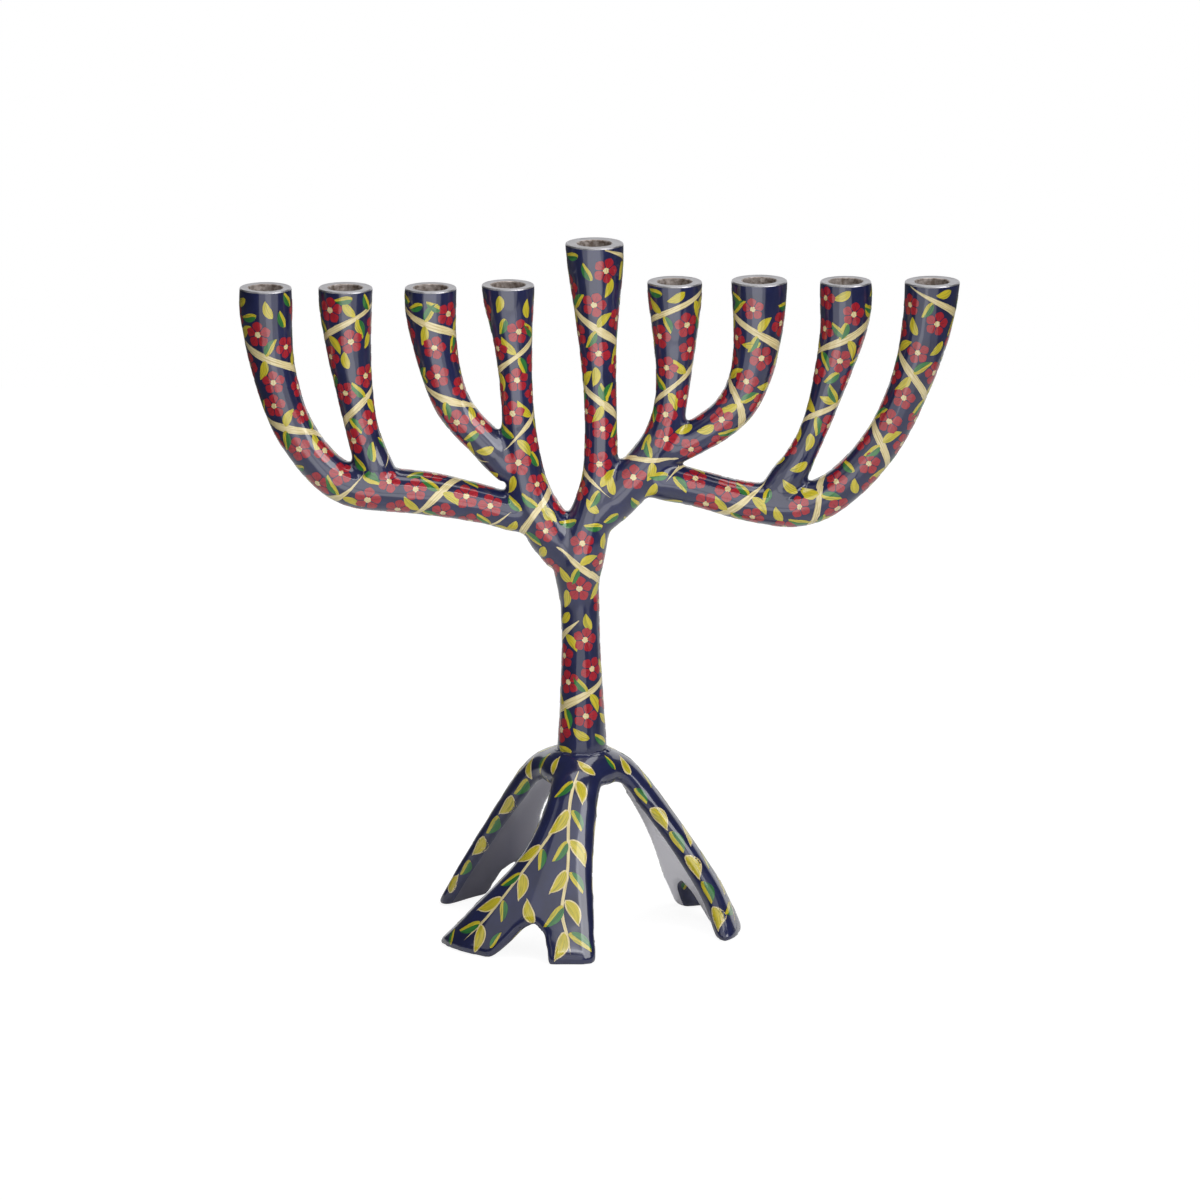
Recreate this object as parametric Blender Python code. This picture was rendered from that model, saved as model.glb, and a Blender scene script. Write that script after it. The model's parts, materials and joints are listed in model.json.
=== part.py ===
"""Nine-light candelabrum in the shape of a tree: cast aluminium branches on a trunk and three forked roots.

Run it with  blender --background --python part.py  or from the text editor. Sizes are written in
millimetres and built in metres, +Z up. The origin is on the table, under the middle of the row of lights,
which runs along X.
"""

import math
from collections import namedtuple

import bmesh
import bpy
from mathutils import Matrix, Vector

MM = 0.001
FIT_GAP = 0.3  # clearance left between two pieces that touch
OVERSHOOT = 1.0  # how far a cutter runs out past what it cuts

# The trunk stands this far from the middle of the tree's outline.
TRUNK_X = -6.5
TRUNK_Y = -1.6

# Trunk foot and the screw that holds the tree on its roots.
TRUNK_FOOT_Z = 64.5
TRUNK_TOP_Z = 116.0
SPIGOT_RADIUS = 5.0
SPIGOT_LENGTH = 5.0
SCREW_RADIUS = 3.0
SCREW_GRIP = 20.0
SCREW_HEAD_FLATS = 10.0
SCREW_HEAD_HEIGHT = 4.0
WASHER_RADIUS = 6.2
WASHER_THICKNESS = 1.6

# Hub that the roots are welded to, and its outline from the top edge down: radius, and depth below the trunk.
HUB_RADIUS = 14.2
HUB_HEIGHT = 10.7
HUB_OUTLINE = [(9.6, FIT_GAP), (11.2, 1.5), (13.2, 3.6), (HUB_RADIUS, 6.2), (HUB_RADIUS, HUB_HEIGHT)]
HUB_BOTTOM_Z = TRUNK_FOOT_Z - HUB_HEIGHT
HUB_SEAT_SPARE = 8.0  # how far a root's seat on the hub runs on above and below it

# Candle socket drilled into the ground-off end of every branch.
SOCKET_RADIUS = 6.0
SOCKET_DEPTH = 13.0

# Round tenon on the foot of every branch, brazed into a drilled hole in the piece that carries it.
TENON_RADIUS = 2.5
TENON_DEPTH = 4.0
TENON_ROOT = 5.0

# Roots: an arched shell, forked into two toes, repeated round the hub. Each is hand-shaped: the azimuth that
# it points to, how much longer or shorter it is, and its left toe more so than its right one, how far its
# edges are splayed at the toes and its fork is turned, in degrees, and how thick its metal is at the crown
# and at the toes.
Root = namedtuple("Root", "azimuth stretch skew splay_left splay_right fork_turn thickness toe_thickness")
ROOTS = {
    "root_front": Root(0.0, 1.0, 0.0, 5.0, 0.0, 0.0, 8.0, 8.0),
    "root_right": Root(113.0, 0.955, 0.085, -9.0, 11.5, 15.5, 6.2, 9.3),
    "root_left": Root(-121.0, 1.045, 0.025, -1.0, -1.0, -8.0, 7.5, 7.5),
}
SPLAY_START = 26.0
SPLAY_END = 50.0
ROOT_CROWN = 3.0
# The fork between the toes, seen from outside: across to the right, and up.
NOTCH_OUTLINE = [(-17, -3), (-9, 5), (-4.5, 10.5), (0.5, 13.3), (5, 10.5), (7.5, 4), (9, -3)]
NOTCH_AZIMUTH = -20.0
NOTCH_START = 30.0
NOTCH_END = 80.0
PEG_RADIUS = 1.8
PEG_Z = 58.2
PEG_DEPTH = 4.0
PEG_ROOT = 2.8

# How finely the round shapes are divided.
TUBE_SIDES = 16
TUBE_STEP = 6.0
SEARCH_STEP = 0.5
SOCKET_SIDES = 24
HUB_SIDES = 32

NAVY = (0.012, 0.016, 0.062)
STEEL = (0.45, 0.46, 0.48)

# A point on a branch's centre line: across, up, and the branch's radius there.
Station = namedtuple("Station", "x z radius")
# A branch is carried by its first carrier, and its foot is shaped to sit on all of them.
Branch = namedtuple("Branch", "name carriers stations")

TRUNK = [
    Station(0.3, TRUNK_FOOT_Z, 9.0),
    Station(0.4, 72.0, 8.4),
    Station(0.2, 88.0, 7.5),
    Station(0.0, 104.0, 6.8),
    Station(-0.4, TRUNK_TOP_Z, 6.9),
]

# The branches run from foot to rim, each after the one that carries it.
BRANCHES = [
    Branch(
        "branch_5_centre",
        ["trunk"],
        [
            Station(-0.2, TRUNK_TOP_Z - TENON_DEPTH, 6.2),
            Station(-0.8, 124.0, 7.4),
            Station(-0.8, 133.0, 9.0),
            Station(0.8, 141.0, 8.8),
            Station(3.6, 150.0, 7.4),
            Station(6.6, 161.0, 6.4),
            Station(7.2, 181.0, 5.7),
            Station(6.4, 202.0, 6.0),
            Station(5.7, 220.0, 7.5),
            Station(5.2, 239.3, 9.9),
            Station(4.8, 248.1, 10.4),
        ],
    ),
    Branch(
        "branch_4_inner_left",
        ["branch_5_centre"],
        [
            Station(-0.5, 131.0, 6.4),
            Station(-5.5, 137.0, 7.6),
            Station(-11.0, 144.5, 8.4),
            Station(-16.9, 154.0, 7.8),
            Station(-20.9, 169.0, 6.8),
            Station(-22.5, 191.0, 5.6),
            Station(-23.9, 212.0, 6.7),
            Station(-25.3, 227.3, 9.0),
            Station(-25.7, 233.2, 9.4),
        ],
    ),
    Branch(
        "branch_1_outer_left",
        ["branch_4_inner_left"],
        [
            Station(-13.4, 147.0, 6.2),
            Station(-21.4, 149.6, 6.8),
            Station(-32.9, 153.4, 6.7),
            Station(-56.3, 158.0, 7.8),
            Station(-80.7, 160.3, 7.4),
            Station(-91.6, 167.3, 6.9),
            Station(-102.6, 183.3, 7.0),
            Station(-109.0, 205.0, 7.8),
            Station(-111.1, 225.0, 9.5),
            Station(-111.1, 232.2, 9.2),
        ],
    ),
    Branch(
        "branch_2_left",
        ["branch_1_outer_left"],
        [
            Station(-71.2, 159.0, 7.0),
            Station(-73.2, 167.0, 7.0),
            Station(-75.5, 174.0, 6.0),
            Station(-78.7, 187.0, 5.9),
            Station(-81.7, 208.0, 7.7),
            Station(-82.9, 224.0, 9.3),
            Station(-83.0, 232.2, 9.7),
        ],
    ),
    Branch(
        "branch_3_left",
        ["branch_4_inner_left"],
        [
            Station(-20.7, 164.5, 5.8),
            Station(-29.2, 172.0, 6.4),
            Station(-36.0, 178.5, 6.0),
            Station(-45.8, 190.5, 6.4),
            Station(-51.0, 208.7, 7.5),
            Station(-53.0, 225.0, 9.2),
            Station(-52.9, 232.2, 9.2),
        ],
    ),
    Branch(
        "branch_6_inner_right",
        ["branch_5_centre"],
        [
            Station(0.0, 131.0, 6.4),
            Station(4.5, 143.0, 7.6),
            Station(12.9, 157.0, 7.9),
            Station(22.9, 167.3, 7.6),
            Station(29.4, 179.0, 6.4),
            Station(32.3, 194.0, 5.7),
            Station(33.2, 212.0, 7.5),
            Station(33.2, 227.3, 9.5),
            Station(33.1, 234.3, 9.8),
        ],
    ),
    Branch(
        "branch_9_outer_right",
        ["branch_6_inner_right"],
        [
            Station(15.4, 160.0, 6.4),
            Station(26.9, 162.3, 7.0),
            Station(41.8, 159.4, 6.5),
            Station(57.8, 155.0, 6.9),
            Station(77.4, 153.2, 7.5),
            Station(91.4, 159.4, 6.9),
            Station(106.4, 176.0, 6.8),
            Station(116.7, 197.8, 7.2),
            Station(122.3, 219.5, 8.9),
            Station(123.9, 234.3, 9.9),
        ],
    ),
    Branch(
        "branch_7_right",
        ["branch_6_inner_right", "branch_9_outer_right"],
        [
            Station(26.9, 172.5, 5.4),
            Station(35.9, 176.0, 6.0),
            Station(46.4, 181.6, 6.2),
            Station(55.9, 190.5, 6.8),
            Station(61.3, 205.5, 7.7),
            Station(62.9, 225.0, 9.5),
            Station(62.9, 234.7, 10.0),
        ],
    ),
    Branch(
        "branch_8_right",
        ["branch_9_outer_right"],
        [
            Station(70.2, 155.0, 6.8),
            Station(73.7, 163.5, 6.6),
            Station(77.9, 171.0, 5.0),
            Station(83.4, 183.3, 4.8),
            Station(87.9, 197.8, 6.0),
            Station(92.2, 215.0, 8.0),
            Station(93.6, 227.3, 9.4),
            Station(93.3, 234.4, 9.0),
        ],
    ),
]

# Root outline: distance from the axis, height of the outer face, and the azimuths of its two edges.
RootRow = namedtuple("RootRow", "reach height left right")
ROOT_ROWS = [
    RootRow(8.0, 64.4, -50.0, 48.0),
    RootRow(13.0, 63.2, -47.0, 44.0),
    RootRow(20.0, 58.9, -40.0, 27.0),
    RootRow(28.0, 48.9, -33.0, 13.0),
    RootRow(37.0, 36.2, -34.0, 7.0),
    RootRow(46.0, 22.2, -43.0, 5.5),
    RootRow(53.0, 10.5, -52.0, 5.5),
    RootRow(62.0, -6.0, -66.0, 6.0),
]
ROOT_STEPS = 3
ROOT_LOOP_POINTS = 20
ROOT_SQUARENESS = 0.7


def clear_scene():
    for old in list(bpy.data.objects):
        bpy.data.objects.remove(old)


def finish(name, colour, roughness, metallic):
    material = bpy.data.materials.new(name)
    material.use_nodes = True
    shader = material.node_tree.nodes["Principled BSDF"]
    shader.inputs["Base Color"].default_value = (*colour, 1.0)
    shader.inputs["Roughness"].default_value = roughness
    shader.inputs["Metallic"].default_value = metallic
    return material


def smooth_rows(rows, steps):
    """Rows of numbers on a smooth curve through the given rows, with this many steps between two of them."""
    padded = [rows[0], *rows, rows[-1]]
    made = []
    for before, start, end, after in zip(padded, padded[1:], padded[2:], padded[3:]):
        for step in range(steps):
            t = step / steps
            made.append(
                [
                    0.5
                    * (
                        2 * b
                        + (c - a) * t
                        + (2 * a - 5 * b + 4 * c - d) * t**2
                        + (3 * b - a - 3 * c + d) * t**3
                    )
                    for a, b, c, d in zip(before, start, end, after)
                ]
            )
    made.append(list(rows[-1]))
    return made


def centre_line(stations, spacing=TUBE_STEP):
    """(point, radius) along a branch in millimetres, about this far apart."""
    reach = sum(math.dist(a[:2], b[:2]) for a, b in zip(stations, stations[1:]))
    steps = max(2, round(reach / (len(stations) - 1) / spacing))
    return [(Vector((TRUNK_X + x, TRUNK_Y, z)), radius) for x, z, radius in smooth_rows(stations, steps)]


def new_object(name, bm):
    mesh = bpy.data.meshes.new(name)
    bmesh.ops.recalc_face_normals(bm, faces=bm.faces)
    bm.to_mesh(mesh)
    bm.free()
    mesh.shade_smooth()
    mesh.set_sharp_from_angle(angle=math.radians(40))
    made = bpy.data.objects.new(name, mesh)
    bpy.context.scene.collection.objects.link(made)
    return made


def helper(made):
    """Marks an object as a cutter or a joining piece, which isn't part of the candelabrum."""
    made.hide_render = True
    made.display_type = "WIRE"
    return made


def combine(target, other, operation):
    modifier = target.modifiers.new(other.name, "BOOLEAN")
    modifier.operation = operation
    modifier.object = other
    modifier.solver = "EXACT"


def loft(loops):
    """Closed body through loops of equally many points in millimetres, with flat ends."""
    bm = bmesh.new()
    rings = [[bm.verts.new(point * MM) for point in loop] for loop in loops]
    for lower, upper in zip(rings, rings[1:]):
        for i in range(len(lower)):
            j = (i + 1) % len(lower)
            bm.faces.new((lower[i], lower[j], upper[j], upper[i]))
    bm.faces.new(rings[0])
    bm.faces.new(rings[-1])
    return bm


def tube(line, grow=0.0):
    """Round tube along a line of (point, radius) in the XZ plane."""
    depth = Vector((0.0, 1.0, 0.0))
    loops = []
    for i, (point, radius) in enumerate(line):
        along = (line[min(i + 1, len(line) - 1)][0] - line[max(i - 1, 0)][0]).normalized()
        side = along.cross(depth)
        turns = [2 * math.pi * k / TUBE_SIDES for k in range(TUBE_SIDES)]
        loops.append([point + (radius + grow) * (side * math.cos(a) + depth * math.sin(a)) for a in turns])
    return loft(loops)


def cut_flat(bm, height, keep_below):
    """Cuts a body with a level plane at this height and closes the cut."""
    cut = bmesh.ops.bisect_plane(
        bm,
        geom=[*bm.verts, *bm.edges, *bm.faces],
        plane_co=(0.0, 0.0, height * MM),
        plane_no=(0.0, 0.0, 1.0 if keep_below else -1.0),
        clear_outer=True,
    )
    edges = [piece for piece in cut["geom_cut"] if isinstance(piece, bmesh.types.BMEdge)]
    bmesh.ops.edgeloop_fill(bm, edges=edges)
    return bm


def rod(name, start, end, radius, sides=TUBE_SIDES):
    """Round bar between two points in millimetres."""
    bm = bmesh.new()
    along = Vector(end) - Vector(start)
    place = Matrix.Translation((Vector(start) + Vector(end)) / 2 * MM)
    turn = along.to_track_quat("Z", "Y").to_matrix().to_4x4()
    bmesh.ops.create_cone(
        bm,
        cap_ends=True,
        segments=sides,
        radius1=radius * MM,
        radius2=radius * MM,
        depth=along.length * MM,
        matrix=place @ turn,
    )
    return new_object(name, bm)


def on_axis(z):
    """A point on the trunk's axis."""
    return Vector((TRUNK_X, TRUNK_Y, z))


def turned(name, profile):
    """Piece turned round the trunk's axis from a closed outline of (radius, height), outer side first."""
    bm = bmesh.new()
    verts = [bm.verts.new(Vector((TRUNK_X + radius, TRUNK_Y, z)) * MM) for radius, z in profile]
    edges = [bm.edges.new((a, b)) for a, b in zip(verts, verts[1:] + verts[:1])]
    bmesh.ops.spin(
        bm,
        geom=verts + edges,
        cent=on_axis(0.0) * MM,
        axis=(0.0, 0.0, 1.0),
        angle=2 * math.pi,
        steps=HUB_SIDES,
        use_merge=True,
    )
    bmesh.ops.remove_doubles(bm, verts=bm.verts, dist=1e-7)
    return new_object(name, bm)


def way_out(stations, carrier_stations):
    """Where a branch's centre line comes out of the piece that carries it, and its direction there."""
    line = centre_line(stations, spacing=SEARCH_STEP)
    inside = centre_line(carrier_stations, spacing=SEARCH_STEP)
    for (point, _), (ahead, _) in zip(line, line[1:]):
        nearest = min(range(len(inside)), key=lambda i: (inside[i][0] - point).length)
        middle, radius = inside[nearest]
        if nearest == len(inside) - 1 or (middle - point).length > radius:
            return point, (ahead - point).normalized()


def add_tenon(piece, carrier, start, end, radius):
    """Gives a piece a round tenon from inside its carrier to inside itself, and the carrier a hole."""
    along = (end - start).normalized()
    tenon = helper(rod(piece.name + "_tenon", start, end, radius))
    hole = helper(rod(piece.name + "_tenon_hole", start - along * FIT_GAP, end, radius + FIT_GAP))
    combine(piece, tenon, "UNION")
    combine(carrier, hole, "DIFFERENCE")


def build_trunk(paint):
    """Trunk with a spigot under its foot and a threaded hole for the screw."""
    trunk = new_object("trunk", tube(centre_line(TRUNK)))
    spigot_end = TRUNK_FOOT_Z - SPIGOT_LENGTH
    spigot_top = on_axis(TRUNK_FOOT_Z + SPIGOT_LENGTH)
    spigot = helper(rod("trunk_spigot", on_axis(spigot_end), spigot_top, SPIGOT_RADIUS))
    thread_top = on_axis(TRUNK_FOOT_Z + SCREW_GRIP + OVERSHOOT)
    thread = helper(rod("trunk_thread", on_axis(spigot_end - OVERSHOOT), thread_top, SCREW_RADIUS + FIT_GAP))
    combine(trunk, spigot, "UNION")
    combine(trunk, thread, "DIFFERENCE")
    trunk.data.materials.append(paint)
    return trunk


def seat_cutter(name, line):
    """The carrier's own tube, grown by the fit gap all round, to shape the foot of a branch."""
    first, last = line[0][0], line[-1][0]
    start = first + (first - line[1][0]).normalized() * FIT_GAP
    end = last + (last - line[-2][0]).normalized() * FIT_GAP
    longer = [(start, line[0][1]), *line[1:-1], (end, line[-1][1])]
    return helper(new_object(name, tube(longer, grow=FIT_GAP)))


def build_branches(trunk, paint):
    """The nine branches, each shaped to sit on what carries it, with a candle socket in its end."""
    pieces = {"trunk": trunk}
    routes = {"trunk": TRUNK}
    for name, carriers, stations in BRANCHES:
        line = centre_line(stations)
        rim, rim_radius = line[-1]
        beyond = rim + (rim - line[-2][0]).normalized() * SOCKET_RADIUS
        piece = new_object(name, cut_flat(tube([*line, (beyond, rim_radius)]), rim.z, keep_below=True))
        for carrier in carriers:
            cutter = seat_cutter(f"{name}_seat_on_{carrier}", centre_line(routes[carrier]))
            combine(piece, cutter, "DIFFERENCE")
        foot, along = way_out(stations, routes[carriers[0]])
        start, end = foot - along * TENON_DEPTH, foot + along * TENON_ROOT
        add_tenon(piece, pieces[carriers[0]], start, end, TENON_RADIUS)
        floor = rim - Vector((0.0, 0.0, SOCKET_DEPTH))
        mouth = rim + Vector((0.0, 0.0, OVERSHOOT))
        socket = helper(rod(name + "_socket", floor, mouth, SOCKET_RADIUS, SOCKET_SIDES))
        combine(piece, socket, "DIFFERENCE")
        piece.data.materials.append(paint)
        pieces[name] = piece
        routes[name] = stations


def root_loop(root, row):
    """One cross-section of a root: crowned outside, flatter inside, with round edges."""
    reach, height, left, right, normal_out, normal_up = row
    splay = min(1.0, max(0.0, (reach - SPLAY_START) / (SPLAY_END - SPLAY_START)))
    left_edge = root.azimuth + left - splay * root.splay_left
    right_edge = root.azimuth + right + splay * root.splay_right
    crown = ROOT_CROWN * (1 - splay)
    thickness = root.thickness + splay * (root.toe_thickness - root.thickness)
    loop = []
    for k in range(ROOT_LOOP_POINTS):
        turn = 2 * math.pi * k / ROOT_LOOP_POINTS
        across = math.copysign(abs(math.cos(turn)) ** ROOT_SQUARENESS, math.cos(turn))
        level = math.copysign(abs(math.sin(turn)) ** ROOT_SQUARENESS, math.sin(turn))
        depth = thickness * (level - 1) / 2 - crown * across**2
        swing = (left_edge + right_edge) / 2 + across * (right_edge - left_edge) / 2
        out = reach * (root.stretch - splay * root.skew * across) + depth * normal_out
        loop.append(on_axis(height + depth * normal_up) + outward(swing) * out)
    return loop


def root_rows():
    """The root's rows on a smooth curve, each with the outer face's normal (outward, upward)."""
    rows = smooth_rows(ROOT_ROWS, ROOT_STEPS)
    made = []
    for i, row in enumerate(rows):
        ahead, behind = rows[min(i + 1, len(rows) - 1)], rows[max(i - 1, 0)]
        run = Vector((ahead[0] - behind[0], ahead[1] - behind[1])).normalized()
        made.append([*row, -run.y, run.x])
    return made


def outward(azimuth):
    """Level direction at this azimuth, which is 0 towards -Y and grows towards +X."""
    swing = math.radians(azimuth)
    return Vector((math.sin(swing), -math.cos(swing), 0.0))


def notch_cutter(name, azimuth):
    """Bar with the fork's outline, pointing outwards through a root."""
    along, across = outward(azimuth), outward(azimuth + 90.0)
    loops = [
        [on_axis(up) + across * aside + along * reach for aside, up in NOTCH_OUTLINE]
        for reach in (NOTCH_START, NOTCH_END)
    ]
    return helper(new_object(name, loft(loops)))


def build_roots(hub, paint):
    """Three forked roots, welded round the hub on pegs."""
    rows = root_rows()
    for name, shape in ROOTS.items():
        loops = [root_loop(shape, row) for row in rows]
        root = new_object(name, cut_flat(loft(loops), 0.0, keep_below=False))
        combine(root, hub_cutter(name + "_seat_on_hub"), "DIFFERENCE")
        peg_line = outward(shape.azimuth)
        peg_start = on_axis(PEG_Z) + peg_line * (HUB_RADIUS - PEG_DEPTH)
        peg_end = on_axis(PEG_Z) + peg_line * (HUB_RADIUS + PEG_ROOT)
        add_tenon(root, hub, peg_start, peg_end, PEG_RADIUS)
        notch = notch_cutter(name + "_notch", shape.azimuth + NOTCH_AZIMUTH + shape.fork_turn)
        combine(root, notch, "DIFFERENCE")
        root.data.materials.append(paint)


def hub_wall(grow=0.0):
    """The hub's outline from its top edge to its foot, as (radius, height)."""
    return [(radius + grow, TRUNK_FOOT_Z - depth + grow) for radius, depth in HUB_OUTLINE]


def hub_cutter(name):
    """The hub's own shape, grown by the fit gap and run out above and below, to shape the end of a root."""
    wall = hub_wall(grow=FIT_GAP)
    above, below = TRUNK_FOOT_Z + HUB_SEAT_SPARE, HUB_BOTTOM_Z - HUB_SEAT_SPARE
    outer = [(wall[0][0], above), *wall, (wall[-1][0], below)]
    return helper(turned(name, [*outer, (OVERSHOOT, below), (OVERSHOOT, above)]))


def build_hub(paint):
    """Boss under the trunk, bored for its spigot and for the screw."""
    hub = turned(
        "root_hub",
        [
            *hub_wall(),
            (SCREW_RADIUS + FIT_GAP, HUB_BOTTOM_Z),
            (SCREW_RADIUS + FIT_GAP, TRUNK_FOOT_Z - SPIGOT_LENGTH - FIT_GAP),
            (SPIGOT_RADIUS + FIT_GAP, TRUNK_FOOT_Z - SPIGOT_LENGTH - FIT_GAP),
            (SPIGOT_RADIUS + FIT_GAP, TRUNK_FOOT_Z - FIT_GAP),
        ],
    )
    hub.data.materials.append(paint)
    return hub


def build_screw(steel):
    """Hexagon screw and washer under the hub."""
    washer_top = HUB_BOTTOM_Z - FIT_GAP
    washer_bottom = washer_top - WASHER_THICKNESS
    hole = SCREW_RADIUS + FIT_GAP
    outer_wall = [(WASHER_RADIUS, washer_top), (WASHER_RADIUS, washer_bottom)]
    washer = turned("washer", [*outer_wall, (hole, washer_bottom), (hole, washer_top)])
    washer.data.materials.append(steel)
    head_top = washer_bottom - FIT_GAP
    corner_radius = SCREW_HEAD_FLATS / math.sqrt(3)
    head_bottom = head_top - SCREW_HEAD_HEIGHT
    screw = rod("trunk_screw", on_axis(head_bottom), on_axis(head_top), corner_radius, sides=6)
    shank_foot, shank_tip = on_axis(head_top - OVERSHOOT), on_axis(TRUNK_FOOT_Z + SCREW_GRIP)
    shank = helper(rod("screw_shank", shank_foot, shank_tip, SCREW_RADIUS))
    combine(screw, shank, "UNION")
    screw.data.materials.append(steel)


def main():
    clear_scene()
    paint = finish("navy_enamel", NAVY, roughness=0.25, metallic=0.0)
    steel = finish("zinc_plated_steel", STEEL, roughness=0.35, metallic=1.0)
    trunk = build_trunk(paint)
    build_branches(trunk, paint)
    hub = build_hub(paint)
    build_roots(hub, paint)
    build_screw(steel)


main()
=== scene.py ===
"""Looks of a nine-light candelabrum in the shape of a tree: hand-painted navy enamel under clear lacquer.

The castings are welded and painted over, so one skin runs over the trunk and the branches, and one over the
roots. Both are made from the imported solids. Everything is in metres, and sizes are written in millimetres.
"""

import bisect
import json
import math
import random

import bmesh
import bpy
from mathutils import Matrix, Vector, noise
from mathutils.bvhtree import BVHTree
from mathutils.interpolate import poly_3d_calc


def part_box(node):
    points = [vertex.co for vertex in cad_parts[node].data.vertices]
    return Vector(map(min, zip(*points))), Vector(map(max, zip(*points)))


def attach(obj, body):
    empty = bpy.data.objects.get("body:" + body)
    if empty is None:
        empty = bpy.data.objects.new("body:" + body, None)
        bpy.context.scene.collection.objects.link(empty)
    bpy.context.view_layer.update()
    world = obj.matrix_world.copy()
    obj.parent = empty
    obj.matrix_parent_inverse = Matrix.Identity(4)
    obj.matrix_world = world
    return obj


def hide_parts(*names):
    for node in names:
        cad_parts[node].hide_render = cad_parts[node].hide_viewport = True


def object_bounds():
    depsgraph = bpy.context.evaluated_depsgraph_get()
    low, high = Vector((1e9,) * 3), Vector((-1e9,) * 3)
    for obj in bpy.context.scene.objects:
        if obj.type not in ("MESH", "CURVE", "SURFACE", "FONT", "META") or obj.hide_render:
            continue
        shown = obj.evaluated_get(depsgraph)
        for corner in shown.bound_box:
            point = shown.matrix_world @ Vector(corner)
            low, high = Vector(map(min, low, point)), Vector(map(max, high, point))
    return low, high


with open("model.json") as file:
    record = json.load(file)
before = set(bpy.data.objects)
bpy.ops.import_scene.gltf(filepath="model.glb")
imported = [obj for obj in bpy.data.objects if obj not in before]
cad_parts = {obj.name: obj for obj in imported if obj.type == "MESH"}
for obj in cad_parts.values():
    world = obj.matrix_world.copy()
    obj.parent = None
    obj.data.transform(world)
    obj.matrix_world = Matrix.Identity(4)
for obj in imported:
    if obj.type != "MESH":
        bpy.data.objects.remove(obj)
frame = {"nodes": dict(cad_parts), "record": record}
cad_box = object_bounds()
hub_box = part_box("root_hub")

MM = 0.001
UP = Vector((0.0, 0.0, 1.0))
FRONT = Vector((0.0, -1.0, 0.0))

# The photograph: where the trunk's axis meets the table in it, and its scale there in pixels per metre.
IMAGE_SIZE = 1200
FOOT_PIXEL = (580.4, 923.5)
FOOT_SCALE = 2797.0
CAMERA_DISTANCE = 4.0
CAMERA_ELEVATION = 15.0
SENSOR_WIDTH = 36.0

# Tracing a limb's centre line down its solid.
TRACE_PAIRS = 10
TRACE_REACH = 14 * MM
TRACE_STEP = 3 * MM
TRACE_ROUNDS = 3
RADIUS_SLACK = 0.2
BURIED = 9 * MM
BURIED_TAPER = 0.85
# How far out a limb's skin is looked for, in radii of the limb.
SKIN_WITHIN = 1.4

# The painted skins.
VOXEL = 0.85 * MM
SKIN_SIDES = 48
TREE_ROUNDING = 26
ROOT_ROUNDING = 14
ROUNDING_LOSS = 1.2 * MM * MM
TOP_SPARE = 8 * MM
FOOT_SPARE = 12 * MM
SEAM_FILL = 0.5 * MM
CROWN_FROM = 46 * MM
CROWN_REACH = 24 * MM
CROWN_ROUNDING = 36
TOE_HEIGHT = 11 * MM
TOE_ROUNDING = 7
ROOT_GROWTH = 0.5 * MM
NORMAL_EVENING = 14
SAME_POINT = 0.001 * MM
ROUNDING_STRENGTH = 0.5

# Weld bead round the foot of the trunk.
BEAD_RADIUS = 1.1 * MM
BEAD_LUMPS = 0.4 * MM
BEAD_SINK = 0.4 * MM
BEAD_OVERHANG = 0.3
BEAD_SIDES = 14
COARSE_LUMPS = 3.1
FINE_LUMPS = 7.3
FINE_SHARE = 0.6

# Ground rims and drilled candle sockets.
PAINT_STOP = 0.5 * MM
SOCKET_RADIUS = 6 * MM

# Inner faces of the roots are left bare where they look this way: inwards, downwards, and how squarely.
BARE_INWARD = 0.75
BARE_DOWNWARD = 0.66
BARE_FROM = 0.8
BARE_EVENING = 24
PAINTED_CROWN = 34 * MM
CROWN_PAINT = 0.006 / MM

# How high each layer of paint stands on the enamel.
CREAM_LIFT = 0.06 * MM
YELLOW_LIFT = 0.09 * MM
GREEN_LIFT = 0.12 * MM
RED_LIFT = 0.11 * MM
DETAIL_LIFT = 0.14 * MM
# How a stroke is divided up, and how its ends and edges thin out.
STROKE_ACROSS = 3
STROKE_STEP = 0.35 * MM
THIN_END = 0.04 * MM
EDGE_THINNING = 0.5
LENS_FULLNESS = 0.8
DOT_STEPS = 8
STREAK_SEED = 5
STREAK_STARTS = 1000

# The vine on every limb, and what grows on it. Pairs are ranges that chance draws from.
DRAW_SEED = 11
VINE_TURN = 1.3
VINE_PITCH = 29 * MM
VINE_SWAY = 0.3
VINE_SWAY_LENGTH = 7.3 * MM
VINE_HALF_WIDTH = 1.25 * MM
VINE_SWELL_LENGTH = 4 * MM
VINE_TAPER = 8 * MM
SHORTEST_VINE = 8 * MM
VINE_MARK_EVERY = 4
SPRAY_SPACING = 10.2 * MM
FIRST_SPRAY = 0.25
BLOSSOM_OFFSET = 6.6 * MM
BLOSSOM_OFFSETS = (0.95, 1.1)
BLOSSOM_SIZES = (0.92, 1.08)
PETALS = 5
PETAL_TURN = math.radians(72)
PETAL_LENGTH = 4.5 * MM
PETAL_HALF_WIDTH = 1.75 * MM
PETAL_ROOM = 0.3
PETAL_START = 0.1
PETAL_LEAN = 1.5
PETAL_STEPS = 12
VEIN_START = 0.3
VEIN_END = 0.72
VEIN_STEPS = 6
VEIN_HALF_WIDTH = 0.17 * MM
EYE_RADIUS = 1.1 * MM
BLOSSOM_CLEARANCE = 8.3 * MM
LEAF_CLEARANCE = 4.0 * MM
LEAF_LENGTH = 7.4 * MM
LEAF_HALF_WIDTH = 1.55 * MM
LEAF_SIZES = (0.9, 1.12)
LEAF_TURNS = (1.3, 1.6)
LEAF_START = 0.6
LEAF_HEART = 0.6
LEAF_STEPS = 20
LEAF_BEND = 0.1
LEAF_LEAN = 0.8
GREEN_SHIFT = 0.36
GREEN_WIDTH = 0.66

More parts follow.
